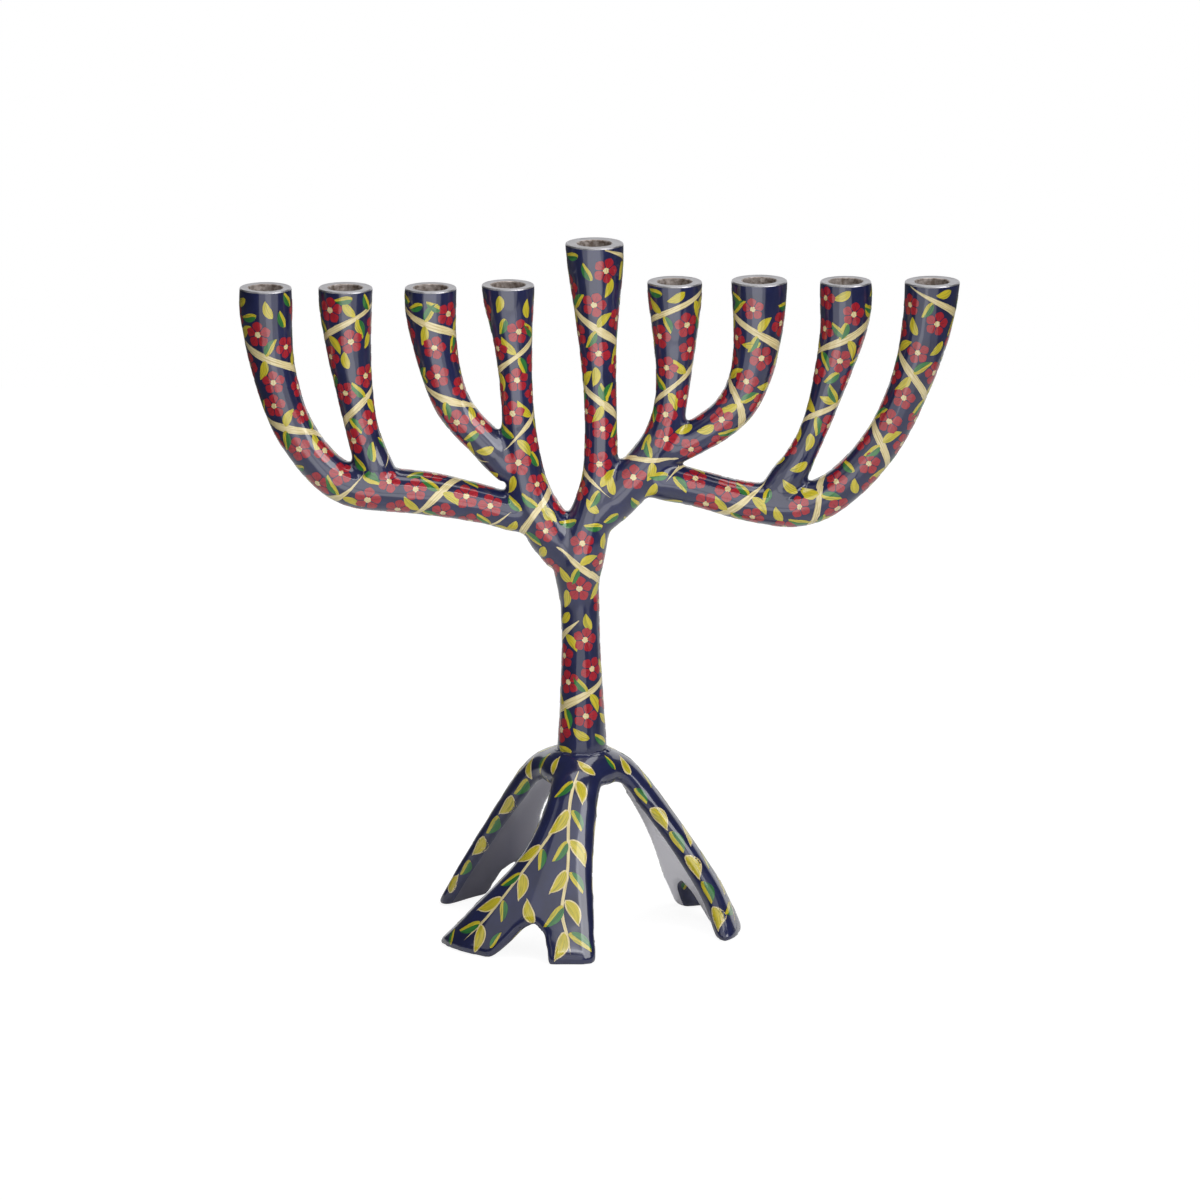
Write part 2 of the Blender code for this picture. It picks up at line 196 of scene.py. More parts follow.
# Blossoms and leaves scattered where the vine leaves the enamel bare.
SCATTER_TRIES = 26000
SCATTER_SEED = 23
SCATTERED_SIZES = (0.8, 1.0)
TWO_TONE_SHARE = 0.5
VINE_CLEARANCE = 5.2 * MM
SCATTERED_LEAF_CLEARANCE = 6.3 * MM
LEAF_FROM_VINE = 3.4 * MM
CANVAS_DEPTH = 6 * MM
CANVAS_TILT = 0.6

# Fronds and leaves on the roots.
FROND_SPACING = 11.5 * MM
FROND_LEAF_LENGTH = 9.6 * MM
FROND_LEAF_HALF_WIDTH = 1.85 * MM
FROND_LEAN = 0.6
FROND_LEANS = (0.85, 1.15)
FROND_LEAF_SIZES = (0.85, 1.08)
FROND_FIRST = 0.3
FROND_LAST = 0.4
FROND_STALK = 1.2 * MM
FROND_CLEARANCE = 5.4 * MM
RIGHT_FROND_START = 2 * MM
LEFT_FROND_START = 3 * MM
EDGE_SPACING = 1.1 * FROND_LEAF_LENGTH
EDGE_LEAF_SIZES = (0.95, 0.85, 0.75, 0.65)
SCATTERED_LEANS = (-0.5, 0.5)
SCATTERED_LEAF_SIZES = (0.6, 0.95)
LEAF_FROM_BARE = 0.12
LEAF_FROM_SOLE = 1.2 * MM
ROOT_LEAF_CLEARANCE = 7.8 * MM
STEM_HALF_WIDTH = 0.55 * MM
STEM_TAPER = 8
STEM_START = 0.2
OUTLINE_WIDTH = 0.45 * MM
FLATTEST_LEAF = 0.97

# Finding the faces of a root, level by level and round the trunk's axis.
ROOT_LEVELS = [z * MM for z in range(62, 2, -2)]
EDGE_LEVELS = ROOT_LEVELS[4:]
SCAN_STEP = math.radians(1.5)
SCAN_STEPS = 42
NARROWEST_SPAN = 3 * SCAN_STEP
EDGE_INSET = 2 * SCAN_STEP
FORK_FROM = 50 * MM
FORK_WHOLE = 30 * MM
CROWN_TOP = 4 * MM
RIB_EVENING = 9
# Where a root's outer face lies, roughly: its reach at the table, and how that falls with height.
ROOT_REACH = 60 * MM
ROOT_SLOPE = 0.7
# How that face is looked at: outwards and upwards, from how far off, how deep, and how squarely.
LOOK_OUT = 0.8
LOOK_UP = 0.6
LOOK_FROM = 20 * MM
LOOK_DEPTH = 32 * MM
LOOK_TILT = 0.3
# Depth of the middle of the metal under that face, and how far off a side face is looked for from there.
HALF_METAL = 3.6 * MM
SIDE_REACH = 12 * MM


# Helpers


def linear(hex_colour):
    """sRGB hex to the linear colour that the shaders work in."""
    made = []
    for i in (1, 3, 5):
        share = int(hex_colour[i : i + 2], 16) / 255
        made.append(share / 12.92 if share <= 0.04045 else ((share + 0.055) / 1.055) ** 2.4)
    return (*made, 1.0)


def new_object(name, mesh):
    """A mesh put into the scene."""
    made = bpy.data.objects.new(name, mesh)
    bpy.context.scene.collection.objects.link(made)
    return made


def trunk_axis():
    """Foot of the trunk's axis on the table."""
    low, high = hub_box
    return Vector(((low.x + high.x) / 2, (low.y + high.y) / 2, 0.0))


def distances(points):
    """How far along a line each of its points lies."""
    reached = [0.0]
    for a, b in zip(points, points[1:]):
        reached.append(reached[-1] + (b - a).length)
    return reached


def stretch_at(reached, along):
    """Which stretch between a line's points holds this distance, and the share of it gone by there."""
    i = min(max(bisect.bisect(reached, along) - 1, 0), len(reached) - 2)
    return i, (along - reached[i]) / (reached[i + 1] - reached[i])


class Skin:
    """A finished surface that strokes are laid on."""

    def __init__(self, mesh, normals=None):
        self.points = [vert.co.copy() for vert in mesh.vertices]
        self.normals = normals or [vert.normal.copy() for vert in mesh.vertices]
        self.faces = [tuple(face.vertices) for face in mesh.polygons]
        self.tree = BVHTree.FromPolygons(self.points, self.faces)
        self.low = [min(point[i] for point in self.points) for i in range(3)]
        self.high = [max(point[i] for point in self.points) for i in range(3)]

    def hit(self, start, way, reach):
        """Where a ray first meets the skin within its reach, and the smooth normal there, or None."""
        place, _, number, _ = self.tree.ray_cast(start, way, reach)
        return None if place is None else (place, self.normal_at(place, number))

    def chance_spot(self, draw):
        """A place on the skin drawn by chance, with its smooth normal, or None if the draw is far off."""
        chance = Vector([draw.uniform(low, high) for low, high in zip(self.low, self.high)])
        place, _, number, _ = self.tree.find_nearest(chance, CANVAS_DEPTH)
        return None if place is None else (place, self.normal_at(place, number))

    def normal_at(self, place, number):
        """Smooth normal at a place on one face."""
        corners = self.faces[number]
        shares = poly_3d_calc([self.points[corner] for corner in corners], place)
        normal = sum((self.normals[corner] * share for corner, share in zip(corners, shares)), Vector())
        return normal.normalized()


# Materials

# Real sizes of the patterns in the finishes. Scratches and grain are drawn as coarse as they need to show.
CLOUD_SIZE = 9 * MM
GRAIN_SIZE = 0.6 * MM
GRAIN_HEIGHT = 0.06 * MM
SCRATCH_LENGTH = 4 * MM
SCRATCH_WIDTH = 0.25 * MM
SCRATCH_DEPTH = 0.04 * MM
MOTTLE_SIZE = 1.6 * MM
MOTTLE_HEIGHT = 0.3 * MM
BLOTCH_SIZE = 2 * MM
RIPPLE_LENGTH = 7 * MM
RIPPLE_HEIGHT = 0.02 * MM
# Streaks in a stroke, whose marks are in millimetres: how wide they are, and their changes per millimetre.
STREAK_WIDTH = 0.35
STREAK_CHANGES = 0.12
# Across the candelabrum: where the painted shade on the bare metal is darkest, and from where on its painted
# reflection is brightest.
PAINTED_SHADE_X = -32 * MM
PAINTED_REFLECTION_X = 20 * MM


def add_node(tree, kind, inputs=None, stops=(), **settings):
    """Adds a node: settings go on it, stops on its ramp, and each input takes a value or an output."""
    node = tree.nodes.new(kind)
    for name, value in settings.items():
        setattr(node, name, value)
    for i, (position, colour) in enumerate(stops):
        node.color_ramp.elements[i].position = position
        node.color_ramp.elements[i].color = linear(colour)
    for name, value in (inputs or {}).items():
        if isinstance(value, bpy.types.NodeSocket):
            tree.links.new(value, node.inputs[name])
        else:
            node.inputs[name].default_value = value
    return node


def new_material(name):
    """An empty material: its node tree and its output node."""
    material = bpy.data.materials.new(name)
    material.use_nodes = True
    material.node_tree.nodes.clear()
    return material, material.node_tree, material.node_tree.nodes.new("ShaderNodeOutputMaterial")


def lacquered(tree, output, colour):
    """Paint under clear lacquer: a soft base and a sharp, glassy coat, whose waves bend reflections."""
    place = add_node(tree, "ShaderNodeTexCoord").outputs["Object"]
    waves = add_node(
        tree, "ShaderNodeTexNoise", {"Vector": place, "Scale": 1 / RIPPLE_LENGTH, "Detail": 1.0}
    )
    bump = add_node(tree, "ShaderNodeBump", {"Height": waves.outputs["Fac"], "Distance": RIPPLE_HEIGHT})
    shader = add_node(
        tree,
        "ShaderNodeBsdfPrincipled",
        {
            "Base Color": colour,
            "Roughness": 0.3,
            "Specular IOR Level": 0.3,
            "Coat Weight": 1.0,
            "Coat Roughness": 0.08,
            "Coat IOR": 1.65,
            "Coat Normal": bump.outputs["Normal"],
        },
    )
    tree.links.new(shader.outputs["BSDF"], output.inputs["Surface"])


def navy_enamel():
    """Dark blue enamel, brushed on and lacquered: deep colour, faint clouds, sharp streaks of light."""
    material, tree, output = new_material("navy_enamel_lacquered")
    place = add_node(tree, "ShaderNodeTexCoord").outputs["Object"]
    clouds = add_node(tree, "ShaderNodeTexNoise", {"Vector": place, "Scale": 1 / CLOUD_SIZE, "Detail": 3.0})
    tones = add_node(
        tree,
        "ShaderNodeValToRGB",
        {"Fac": clouds.outputs["Fac"]},
        stops=[(0.35, "#171c41"), (0.65, "#1e244e")],
    )
    lacquered(tree, output, tones.outputs["Color"])
    return material


def brushed_paint(name, thin, full):
    """Artist's enamel laid with a small brush: bristle streaks along the stroke, thin where it ran dry."""
    material, tree, output = new_material(name)
    stroke_place = add_node(tree, "ShaderNodeUVMap", uv_map="stroke").outputs["UV"]
    stretch = (STREAK_CHANGES, 1 / STREAK_WIDTH, 1.0)
    streak_place = add_node(
        tree, "ShaderNodeVectorMath", {0: stroke_place, 1: stretch}, operation="MULTIPLY"
    )
    streaks = add_node(
        tree, "ShaderNodeTexNoise", {"Vector": streak_place.outputs["Vector"], "Scale": 1.0, "Detail": 2.0}
    )
    tones = add_node(
        tree, "ShaderNodeValToRGB", {"Fac": streaks.outputs["Fac"]}, stops=[(0.3, thin), (0.55, full)]
    )
    lacquered(tree, output, tones.outputs["Color"])
    return material


def toned_metal(tree, output, share, stops, finish):
    """Metal whose tone runs from the first stop to the second with a share, and has this finish."""
    tones = add_node(tree, "ShaderNodeValToRGB", {"Fac": share}, stops=stops)
    shader = add_node(tree, "ShaderNodeBsdfPrincipled", {"Base Color": tones.outputs["Color"], **finish})
    tree.links.new(shader.outputs["BSDF"], output.inputs["Surface"])


def bare_casting():
    """Bare cast aluminium inside the roots, satin and sandy: painted shade on the left, painted reflection
    on the right.
    """
    material, tree, output = new_material("cast_aluminium_bare")
    place = add_node(tree, "ShaderNodeTexCoord").outputs["Object"]
    grain = add_node(tree, "ShaderNodeTexNoise", {"Vector": place, "Scale": 1 / GRAIN_SIZE, "Detail": 3.0})
    # Painted shade and painted reflection: the tone is set by place across the candelabrum, dark on the left
    # and pale on the right.
    across = add_node(tree, "ShaderNodeSeparateXYZ", {"Vector": place}).outputs["X"]
    shade_to_reflection = add_node(
        tree, "ShaderNodeMapRange", {"Value": across, "From Min": PAINTED_SHADE_X, "From Max": PAINTED_REFLECTION_X}
    )
    bump = add_node(
        tree, "ShaderNodeBump", {"Height": grain.outputs["Fac"], "Strength": 0.35, "Distance": GRAIN_HEIGHT}
    )
    # Dark stop is painted shade, near-white stop is painted reflection; neither is the metal's own colour.
    stops = [(0.0, "#7a7987"), (1.0, "#f6f5fb")]
    finish = {"Metallic": 1.0, "Roughness": 0.42, "Normal": bump.outputs["Normal"]}
    toned_metal(tree, output, shade_to_reflection.outputs["Result"], stops, finish)
    return material


def ground_rim():
    """Aluminium ground flat on a belt: pale, with fine scratches one way across every rim."""
    material, tree, output = new_material("aluminium_ground")
    place = add_node(tree, "ShaderNodeTexCoord").outputs["Object"]
    stretch = (1 / SCRATCH_LENGTH, 1 / SCRATCH_WIDTH, 1 / MM)
    squeezed = add_node(tree, "ShaderNodeVectorMath", {0: place, 1: stretch}, operation="MULTIPLY")
    scratches = add_node(
        tree, "ShaderNodeTexNoise", {"Vector": squeezed.outputs["Vector"], "Scale": 1.0, "Detail": 3.0}
    )
    bump = add_node(
        tree,
        "ShaderNodeBump",
        {"Height": scratches.outputs["Fac"], "Strength": 0.4, "Distance": SCRATCH_DEPTH},
    )
    stops = [(0.35, "#b4b2b6"), (0.65, "#d0cfd3")]
    finish = {"Metallic": 1.0, "Roughness": 0.38, "Normal": bump.outputs["Normal"]}
    toned_metal(tree, output, scratches.outputs["Fac"], stops, finish)
    return material


def drilled_socket():
    """Aluminium drilled and left rough: grey-brown, mottled with old wax and soot."""
    material, tree, output = new_material("aluminium_drilled")
    place = add_node(tree, "ShaderNodeTexCoord").outputs["Object"]
    mottle = add_node(
        tree, "ShaderNodeTexNoise", {"Vector": place, "Scale": 1 / MOTTLE_SIZE, "Detail": 4.0}
    )
    bump = add_node(
        tree,
        "ShaderNodeBump",
        {"Height": mottle.outputs["Fac"], "Strength": 0.7, "Distance": MOTTLE_HEIGHT},
    )
    stops = [(0.35, "#86786f"), (0.65, "#d0c6c1")]
    finish = {"Metallic": 0.5, "Roughness": 0.55, "Normal": bump.outputs["Normal"]}
    toned_metal(tree, output, mottle.outputs["Fac"], stops, finish)
    return material


def zinc_steel():
    """Zinc-plated steel: grey, faintly blotched, satin."""
    material, tree, output = new_material("steel_zinc_plated")
    place = add_node(tree, "ShaderNodeTexCoord").outputs["Object"]
    blotches = add_node(
        tree, "ShaderNodeTexNoise", {"Vector": place, "Scale": 1 / BLOTCH_SIZE, "Detail": 2.0}
    )
    stops = [(0.35, "#a3a7ab"), (0.65, "#c2c5c8")]
    toned_metal(tree, output, blotches.outputs["Fac"], stops, {"Metallic": 1.0, "Roughness": 0.35})
    return material


# Limbs: the trunk and the branches


class Limb:
    """A limb's centre line, from its upper end to its foot, with its radius at every point."""

    def __init__(self, name, start):
        self.name = name
        self.points, self.radii = trace(Skin(frame["nodes"][name].data).tree, start)
        self.reached = distances(self.points)
        self.length = self.reached[-1]

    def at(self, along):
        """Middle, direction towards the foot, and radius at this distance from the upper end."""
        i, share = stretch_at(self.reached, along)
        middle = self.points[i].lerp(self.points[i + 1], share)
        before, after = max(i - 1, 0), min(i + 2, len(self.points) - 1)
        direction = (self.points[after] - self.points[before]).normalized()
        return middle, direction, self.radii[i] + (self.radii[i + 1] - self.radii[i]) * share

    def canvas(self, skin, along, angle, heading=0.0, radius=None):
        """Unrolled patch of the limb: (forward, left) of a spot at this heading, to a place on the skin."""
        wrap = radius or self.at(along)[2]
        forward, aside = math.cos(heading), math.sin(heading)

        def spot(x, y):
            here = along + x * forward - y * aside
            if not 0.0 < here < self.length + BURIED:
                return None
            middle, direction, around = self.at(here)
            turn = angle + (x * aside + y * forward) / wrap
            out = FRONT * math.cos(turn) + FRONT.cross(direction) * math.sin(turn)
            return skin.hit(middle, out, around * SKIN_WITHIN)

        return spot


def trace(solid, start):
    """Follows a limb down from its upper end, ring by ring, until its foot meets what carries it."""
    points, radii = [], []
    middle, along = start, -UP
    while True:
        for _ in range(TRACE_ROUNDS):
            found = fitted_ring(solid, middle, along, radii[-1] if radii else None)
            if found is None:
                return evened(points), evened(radii)
            middle, radius = found
        if points:
            along = (along + (middle - points[-1]).normalized()).normalized()
        points.append(middle)
        radii.append(radius)
        middle = middle + along * TRACE_STEP


def fitted_ring(solid, middle, along, expected):
    """Middle and radius of a limb here, from pairs of opposite rays that meet it where expected."""
    side = FRONT.cross(along).normalized()
    middles, spans = [], []
    for k in range(TRACE_PAIRS):
        turn = math.pi * k / TRACE_PAIRS
        spoke = side * math.cos(turn) + FRONT * math.sin(turn)
        ends = [solid.ray_cast(middle + way * TRACE_REACH, -way, TRACE_REACH)[0] for way in (spoke, -spoke)]
        if None in ends:
            continue
        span = (ends[0] - ends[1]).length / 2
        if expected is None or abs(span - expected) < RADIUS_SLACK * expected:
            middles.append((ends[0] + ends[1]) / 2)
            spans.append(span)
    if len(spans) < TRACE_PAIRS / 2:
        return None
    return sum(middles, Vector()) / len(middles), sum(spans) / len(spans)


def evened(row):
    """Takes the small kinks of the faceted solid out of a row of points or radii."""
    middle = [a * 0.25 + b * 0.5 + c * 0.25 for a, b, c in zip(row, row[1:], row[2:])]
    return [row[0], *middle, row[-1]]


def find_limbs():
    """The trunk, and every branch from its rim, whose place the record's candle sockets give."""
    trunk_top = trunk_axis()
    trunk_top.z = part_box("trunk")[1].z - TRACE_STEP
    limbs = [Limb("trunk", trunk_top)]
    names = sorted(name for name in frame["nodes"] if name.startswith("branch_"))
    for name, opening in zip(names, frame["record"]["physics"]["openings"]):
        corner, opposite = (Vector(corner) for corner in opening["box_m"])
        rim = (corner + opposite) / 2
        rim.z = opposite.z - PAINT_STOP
        limbs.append(Limb(name, rim))
    return limbs


# Skins


def ring_points(middle, along, radius):
    """A ring round a limb's centre line."""
    side = FRONT.cross(along).normalized()
    turns = [2 * math.pi * k / SKIN_SIDES for k in range(SKIN_SIDES)]
    return [middle + radius * (side * math.cos(turn) + FRONT * math.sin(turn)) for turn in turns]


def add_rings(bm, rings):
    """Joins rings of equally many points, and gives their corners."""
    made = [[bm.verts.new(point) for point in ring] for ring in rings]
    for outer, inner in zip(made, made[1:]):
        for i in range(len(outer)):
            j = (i + 1) % len(outer)
            bm.faces.new((outer[i], outer[j], inner[j], inner[i]))
    return made


def add_tube(bm, points, radii):
    """Closed tube along a centre line, grown by what rounding takes off again."""
    rings = []
    for i, (point, radius) in enumerate(zip(points, radii)):
        along = (points[min(i + 1, len(points) - 1)] - points[max(i - 1, 0)]).normalized()
        rings.append(ring_points(point, along, radius + ROUNDING_LOSS / radius))
    made = add_rings(bm, rings)
    bm.faces.new(made[0])
    bm.faces.new(made[-1])


def one_skin(name, bm, rounding):
    """Fuses overlapping closed bodies into one skin and rounds its corners, as filled welds are."""
    bmesh.ops.recalc_face_normals(bm, faces=bm.faces)
    mesh = bpy.data.meshes.new(name)
    bm.to_mesh(mesh)
    bm.free()
    rough = new_object(name + "_rough", mesh)
    fuse = rough.modifiers.new("fuse", "REMESH")
    fuse.mode = "VOXEL"
    fuse.voxel_size = VOXEL
    smooth = rough.modifiers.new("round", "SMOOTH")
    smooth.factor = ROUNDING_STRENGTH
    smooth.iterations = rounding
    bpy.context.view_layer.update()
    view = bpy.context.evaluated_depsgraph_get()
    skin = bpy.data.meshes.new_from_object(rough.evaluated_get(view))
    bpy.data.objects.remove(rough)
    skin.name = name
    return skin


def tree_skin(limbs):
    """One skin over the trunk and the branches, running on past each rim, where it is cut off next."""
    bm = bmesh.new()
    for limb in limbs:
        points, radii = list(limb.points), list(limb.radii)
        out = (points[0] - points[1]).normalized()
        down = (points[-1] - points[-2]).normalized()
        points.insert(0, points[0] + out * TOP_SPARE)
        radii.insert(0, radii[0])
        if limb.name == "trunk":
            points.append(points[-1] + down * FOOT_SPARE)
            radii.append(radii[-1])
        else:
            points.append(points[-1] + down * BURIED)
            radii.append(radii[-1] * BURIED_TAPER)
        add_tube(bm, points, radii)
    return one_skin("tree_enamel", bm, TREE_ROUNDING)


def cut_rim(bm, limb):
    """Cuts a limb's end off level, and gives the points of the cut in order round it."""
    rim = limb.points[0]
    reach = SKIN_WITHIN * limb.radii[0]
    near = [v for v in bm.verts if v.co.z > rim.z - TOP_SPARE and (v.co - rim).xy.length < reach]
    faces = {face for vert in near for face in vert.link_faces}
    edges = {edge for face in faces for edge in face.edges}
    verts = {vert for face in faces for vert in face.verts}
    cut = bmesh.ops.bisect_plane(
        bm, geom=[*verts, *edges, *faces], plane_co=rim, plane_no=UP, clear_outer=True
    )
    loop = [piece for piece in cut["geom_cut"] if isinstance(piece, bmesh.types.BMVert)]
    loop.sort(key=lambda v: math.atan2(v.co.y - rim.y, v.co.x - rim.x))
    return [v.co.copy() for v in loop]


def drawn_in(point, axis, inward, height):
    """A point drawn in towards an upright axis, at this height."""
    spoke = point - axis
    spoke.z = 0.0
    place = axis + spoke * (1 - inward / spoke.length)
    place.z = height
    return place


# Worn outer corner of a rim, as millimetres inwards and up from the edge of the paint.
RIM_EDGE = [(0.0, 0.0), (0.1, 0.35), (0.35, 0.5)]
RIM_RINGS = 5
RIM_WAVE = 0.12 * MM
RIM_WAVE_LENGTH = 5 * MM
RIM_CREASE = math.radians(50)
# Wall and floor of a socket, as millimetres inwards and down from its mouth.
SOCKET_STEPS = [(0.35, 0.35), (0.35, 2.5), (0.4, 5.0), (0.4, 9.0), (0.4, 12.6), (2.5, 13.0), (5.6, 13.0)]
BROKEN_EDGE = 0.35 * MM
SOCKET_DENTS = 0.12 * MM
DENT_SIZE = 1.7 * MM


def add_rim(bm, limb, outline):
    """Bare rim inside the edge of the paint: a worn outer corner, a ground flat and the socket's mouth."""
    rim = limb.points[0]
    axis = Vector((rim.x, rim.y, 0.0))
    flat = rim.z + PAINT_STOP
    mouth = SOCKET_RADIUS + BROKEN_EDGE
    rings = []
    for inward, rise in RIM_EDGE:
        rings.append([drawn_in(point, axis, inward * MM, rim.z + rise * MM) for point in outline])
    last = rings[-1]
    for step in range(1, RIM_RINGS + 1):
        share = step / RIM_RINGS
        ring = []
        for point in last:
            place = drawn_in(point, axis, ((point - axis).xy.length - mouth) * share, flat)
            wave = noise.noise(place / RIM_WAVE_LENGTH) * math.sin(math.pi * share)
            place.z += RIM_WAVE * (wave - 1)
            ring.append(place)
        rings.append(ring)
    add_rings(bm, rings)
    return rings[-1]


def add_socket(bm, limb, mouth):
    """Drilled socket: broken edge, rough wall and flat floor."""
    rim = limb.points[0]
    axis = Vector((rim.x, rim.y, 0.0))
    rings = [mouth]
    for inward, depth in SOCKET_STEPS:
        ring = []
        for point in mouth:
            place = drawn_in(point, axis, inward * MM, rim.z + PAINT_STOP - depth * MM)
            dent = SOCKET_DENTS * noise.noise(place / DENT_SIZE)
            ring.append(drawn_in(place, axis, dent, place.z))
        rings.append(ring)
    bm.faces.new(add_rings(bm, rings)[-1])


def build_tree(limbs, enamel, rim_metal, socket_metal):
    """Enamelled trunk and branches, ground rims, and sockets. Gives the skin to paint on."""
    mesh = tree_skin(limbs)
    bm = bmesh.new()
    bm.from_mesh(mesh)
    rims, sockets = bmesh.new(), bmesh.new()
    for limb in limbs[1:]:
        outline = cut_rim(bm, limb)
        add_socket(sockets, limb, add_rim(rims, limb, outline))
    bm.to_mesh(mesh)
    bm.free()
    mesh.shade_smooth()
    tree = add_piece("tree_enamel", mesh, enamel)
    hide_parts(*(limb.name for limb in limbs))
    for name, made, metal in (("ground_rims", rims, rim_metal), ("candle_sockets", sockets, socket_metal)):
        bmesh.ops.recalc_face_normals(made, faces=made.faces)
        mesh_made = smooth_mesh(name, made)
        mesh_made.set_sharp_from_angle(angle=RIM_CREASE)
        add_piece(name, mesh_made, metal)
    return Skin(mesh)


def smooth_mesh(name, bm):
    """Smooth-shaded mesh, with the normals kept in its shine layer if it has one."""
    mesh = bpy.data.meshes.new(name)
    shine = bm.verts.layers.float_vector.get("shine")
    normals = [vert[shine].copy() for vert in bm.verts] if shine else []
    bm.to_mesh(mesh)
    bm.free()
    mesh.shade_smooth()
    if normals:
        mesh.normals_split_custom_set_from_vertices(normals)
    return mesh


def add_piece(name, mesh, material):
    """A piece of this finish, which rides on the candelabrum."""
    piece = new_object(name, mesh)
    mesh.materials.clear()
    mesh.materials.append(material)
    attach(piece, "root")
    return piece


# Roots


def root_skin(names):
    """One skin over the roots and their hub, which is grown a little to close the seams between them."""
    bm = bmesh.new()
    bm.from_mesh(frame["nodes"]["root_hub"].data)
    bmesh.ops.remove_doubles(bm, verts=bm.verts, dist=SAME_POINT)
    bmesh.ops.recalc_face_normals(bm, faces=bm.faces)
    bm.normal_update()
    grown = [vert.co + vert.normal * SEAM_FILL for vert in bm.verts]
    for vert, place in zip(bm.verts, grown):
        vert.co = place
    for name in names:
        bm.from_mesh(frame["nodes"][name].data)
    bmesh.ops.remove_doubles(bm, verts=bm.verts, dist=SAME_POINT)
    return one_skin("roots_enamel", bm, ROOT_ROUNDING)


def ease(bm, verts, rounds):
    """Rounds one region of a skin further."""
    ways = {"use_axis_x": True, "use_axis_y": True, "use_axis_z": True}
    for _ in range(rounds):
        bmesh.ops.smooth_vert(bm, verts=verts, factor=ROUNDING_STRENGTH, **ways)


def ease_roots(bm, axis):
    """Rounds crown and toes further, gives back what rounding took off, and sets the soles on the table."""
    crown = [v for v in bm.verts if v.co.z > CROWN_FROM and (v.co - axis).xy.length < CROWN_REACH]
    ease(bm, crown, CROWN_ROUNDING)
    ease(bm, [v for v in bm.verts if v.co.z < TOE_HEIGHT], TOE_ROUNDING)
    bm.normal_update()
    grown = [vert.co + vert.normal * ROOT_GROWTH for vert in bm.verts]
    sole = min(place.z for place in grown)
    for vert, place in zip(bm.verts, grown):
        lowered = place.z - sole * max(0.0, 1 - place.z / TOE_HEIGHT)
        vert.co = (place.x, place.y, max(lowered, 0.0))
    bm.normal_update()


def looks_bare(place, normal, axis):
    """How squarely a place on a root looks inwards and down, where the metal is left bare."""
    inward = axis - place
    inward.z = 0.0
    look = inward.normalized() * BARE_INWARD - UP * BARE_DOWNWARD
    return normal.dot(look.normalized()) - CROWN_PAINT * max(0.0, place.z - PAINTED_CROWN)


def evened_values(values, rounds, nothing):
    """Values given for every point of a skin, each drawn towards its neighbours' again and again."""
    for _ in range(rounds):
        last, values = values, {}
        for vert, value in last.items():
            others = [last[edge.other_vert(vert)] for edge in vert.link_edges]
            values[vert] = (value + sum(others, nothing) / len(others)) / 2
    return values


def split_along(bm, values, level):
    """Cuts faces along the line where a value, given for every point, crosses a level."""
    on_line = set()
    for edge in list(bm.edges):
        a, b = edge.verts
        low, high = values[a] - level, values[b] - level
        if low * high < 0:
            _, made = bmesh.utils.edge_split(edge, a, low / (low - high))
            values[made] = level
            on_line.add(made)
    for face in list(bm.faces):
        crossed = [vert for vert in face.verts if vert in on_line]
        if len(crossed) == 2:
            bmesh.utils.face_split(face, *crossed)


def add_bead(bm, trunk):
    """Lumpy weld bead round the foot of the trunk."""
    middle = trunk.points[-1].copy()
    middle.z = hub_box[1].z - BEAD_SINK
    rings = []
    for k in range(2 * SKIN_SIDES + 1):
        turn = math.pi * k / SKIN_SIDES
        spoke = Vector((math.cos(turn), math.sin(turn), 0.0))
        lump = noise.noise(spoke * COARSE_LUMPS) + FINE_SHARE * noise.noise(spoke * FINE_LUMPS)
        thick = BEAD_RADIUS + BEAD_LUMPS * lump
        heart = middle + spoke * (trunk.radii[-1] + BEAD_OVERHANG * thick)
        turns = [2 * math.pi * side / BEAD_SIDES for side in range(BEAD_SIDES)]
        rings.append([heart + thick * (spoke * math.cos(a) + UP * math.sin(a)) for a in turns])
    add_rings(bm, rings)
    bmesh.ops.remove_doubles(bm, verts=bm.verts, dist=SAME_POINT)


def build_roots(names, trunk, enamel, bare):
    """Painted roots and their bare inner faces. Gives the skin to paint on."""
    mesh = root_skin(names)
    axis = trunk_axis()
    bm = bmesh.new()
    bm.from_mesh(mesh)
    shine = bm.verts.layers.float_vector.new("shine")
    ease_roots(bm, axis)
    values = {vert: looks_bare(vert.co, vert.normal, axis) for vert in bm.verts}
    values = evened_values(values, BARE_EVENING, 0.0)
    split_along(bm, values, BARE_FROM)
    bm.normal_update()
    normals = evened_values({vert: vert.normal.copy() for vert in bm.verts}, NORMAL_EVENING, Vector())
    for vert, normal in normals.items():
        vert[shine] = normal.normalized()
    for face in bm.faces:
        face.tag = sum(values[vert] for vert in face.verts) / len(face.verts) > BARE_FROM
    painted, unpainted = bm.copy(), bm.copy()
    bm.to_mesh(mesh)
    skin = Skin(mesh, [vert[shine].copy() for vert in bm.verts])
    for made, unwanted in ((painted, True), (unpainted, False)):
        gone = [face for face, kept in zip(made.faces, bm.faces) if kept.tag == unwanted]
        bmesh.ops.delete(made, geom=gone, context="FACES")
    bm.free()
    bead = bmesh.new()
    add_bead(bead, trunk)
    bmesh.ops.recalc_face_normals(bead, faces=bead.faces)
    add_piece("weld_bead", smooth_mesh("weld_bead", bead), enamel)
    roots = add_piece("roots_enamel", smooth_mesh("roots_enamel", painted), enamel)
    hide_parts(*names, "root_hub")
    inside = smooth_mesh("roots_bare_inside", unpainted)
    add_piece("roots_bare_inside", inside, bare)
    return skin


# Brushwork


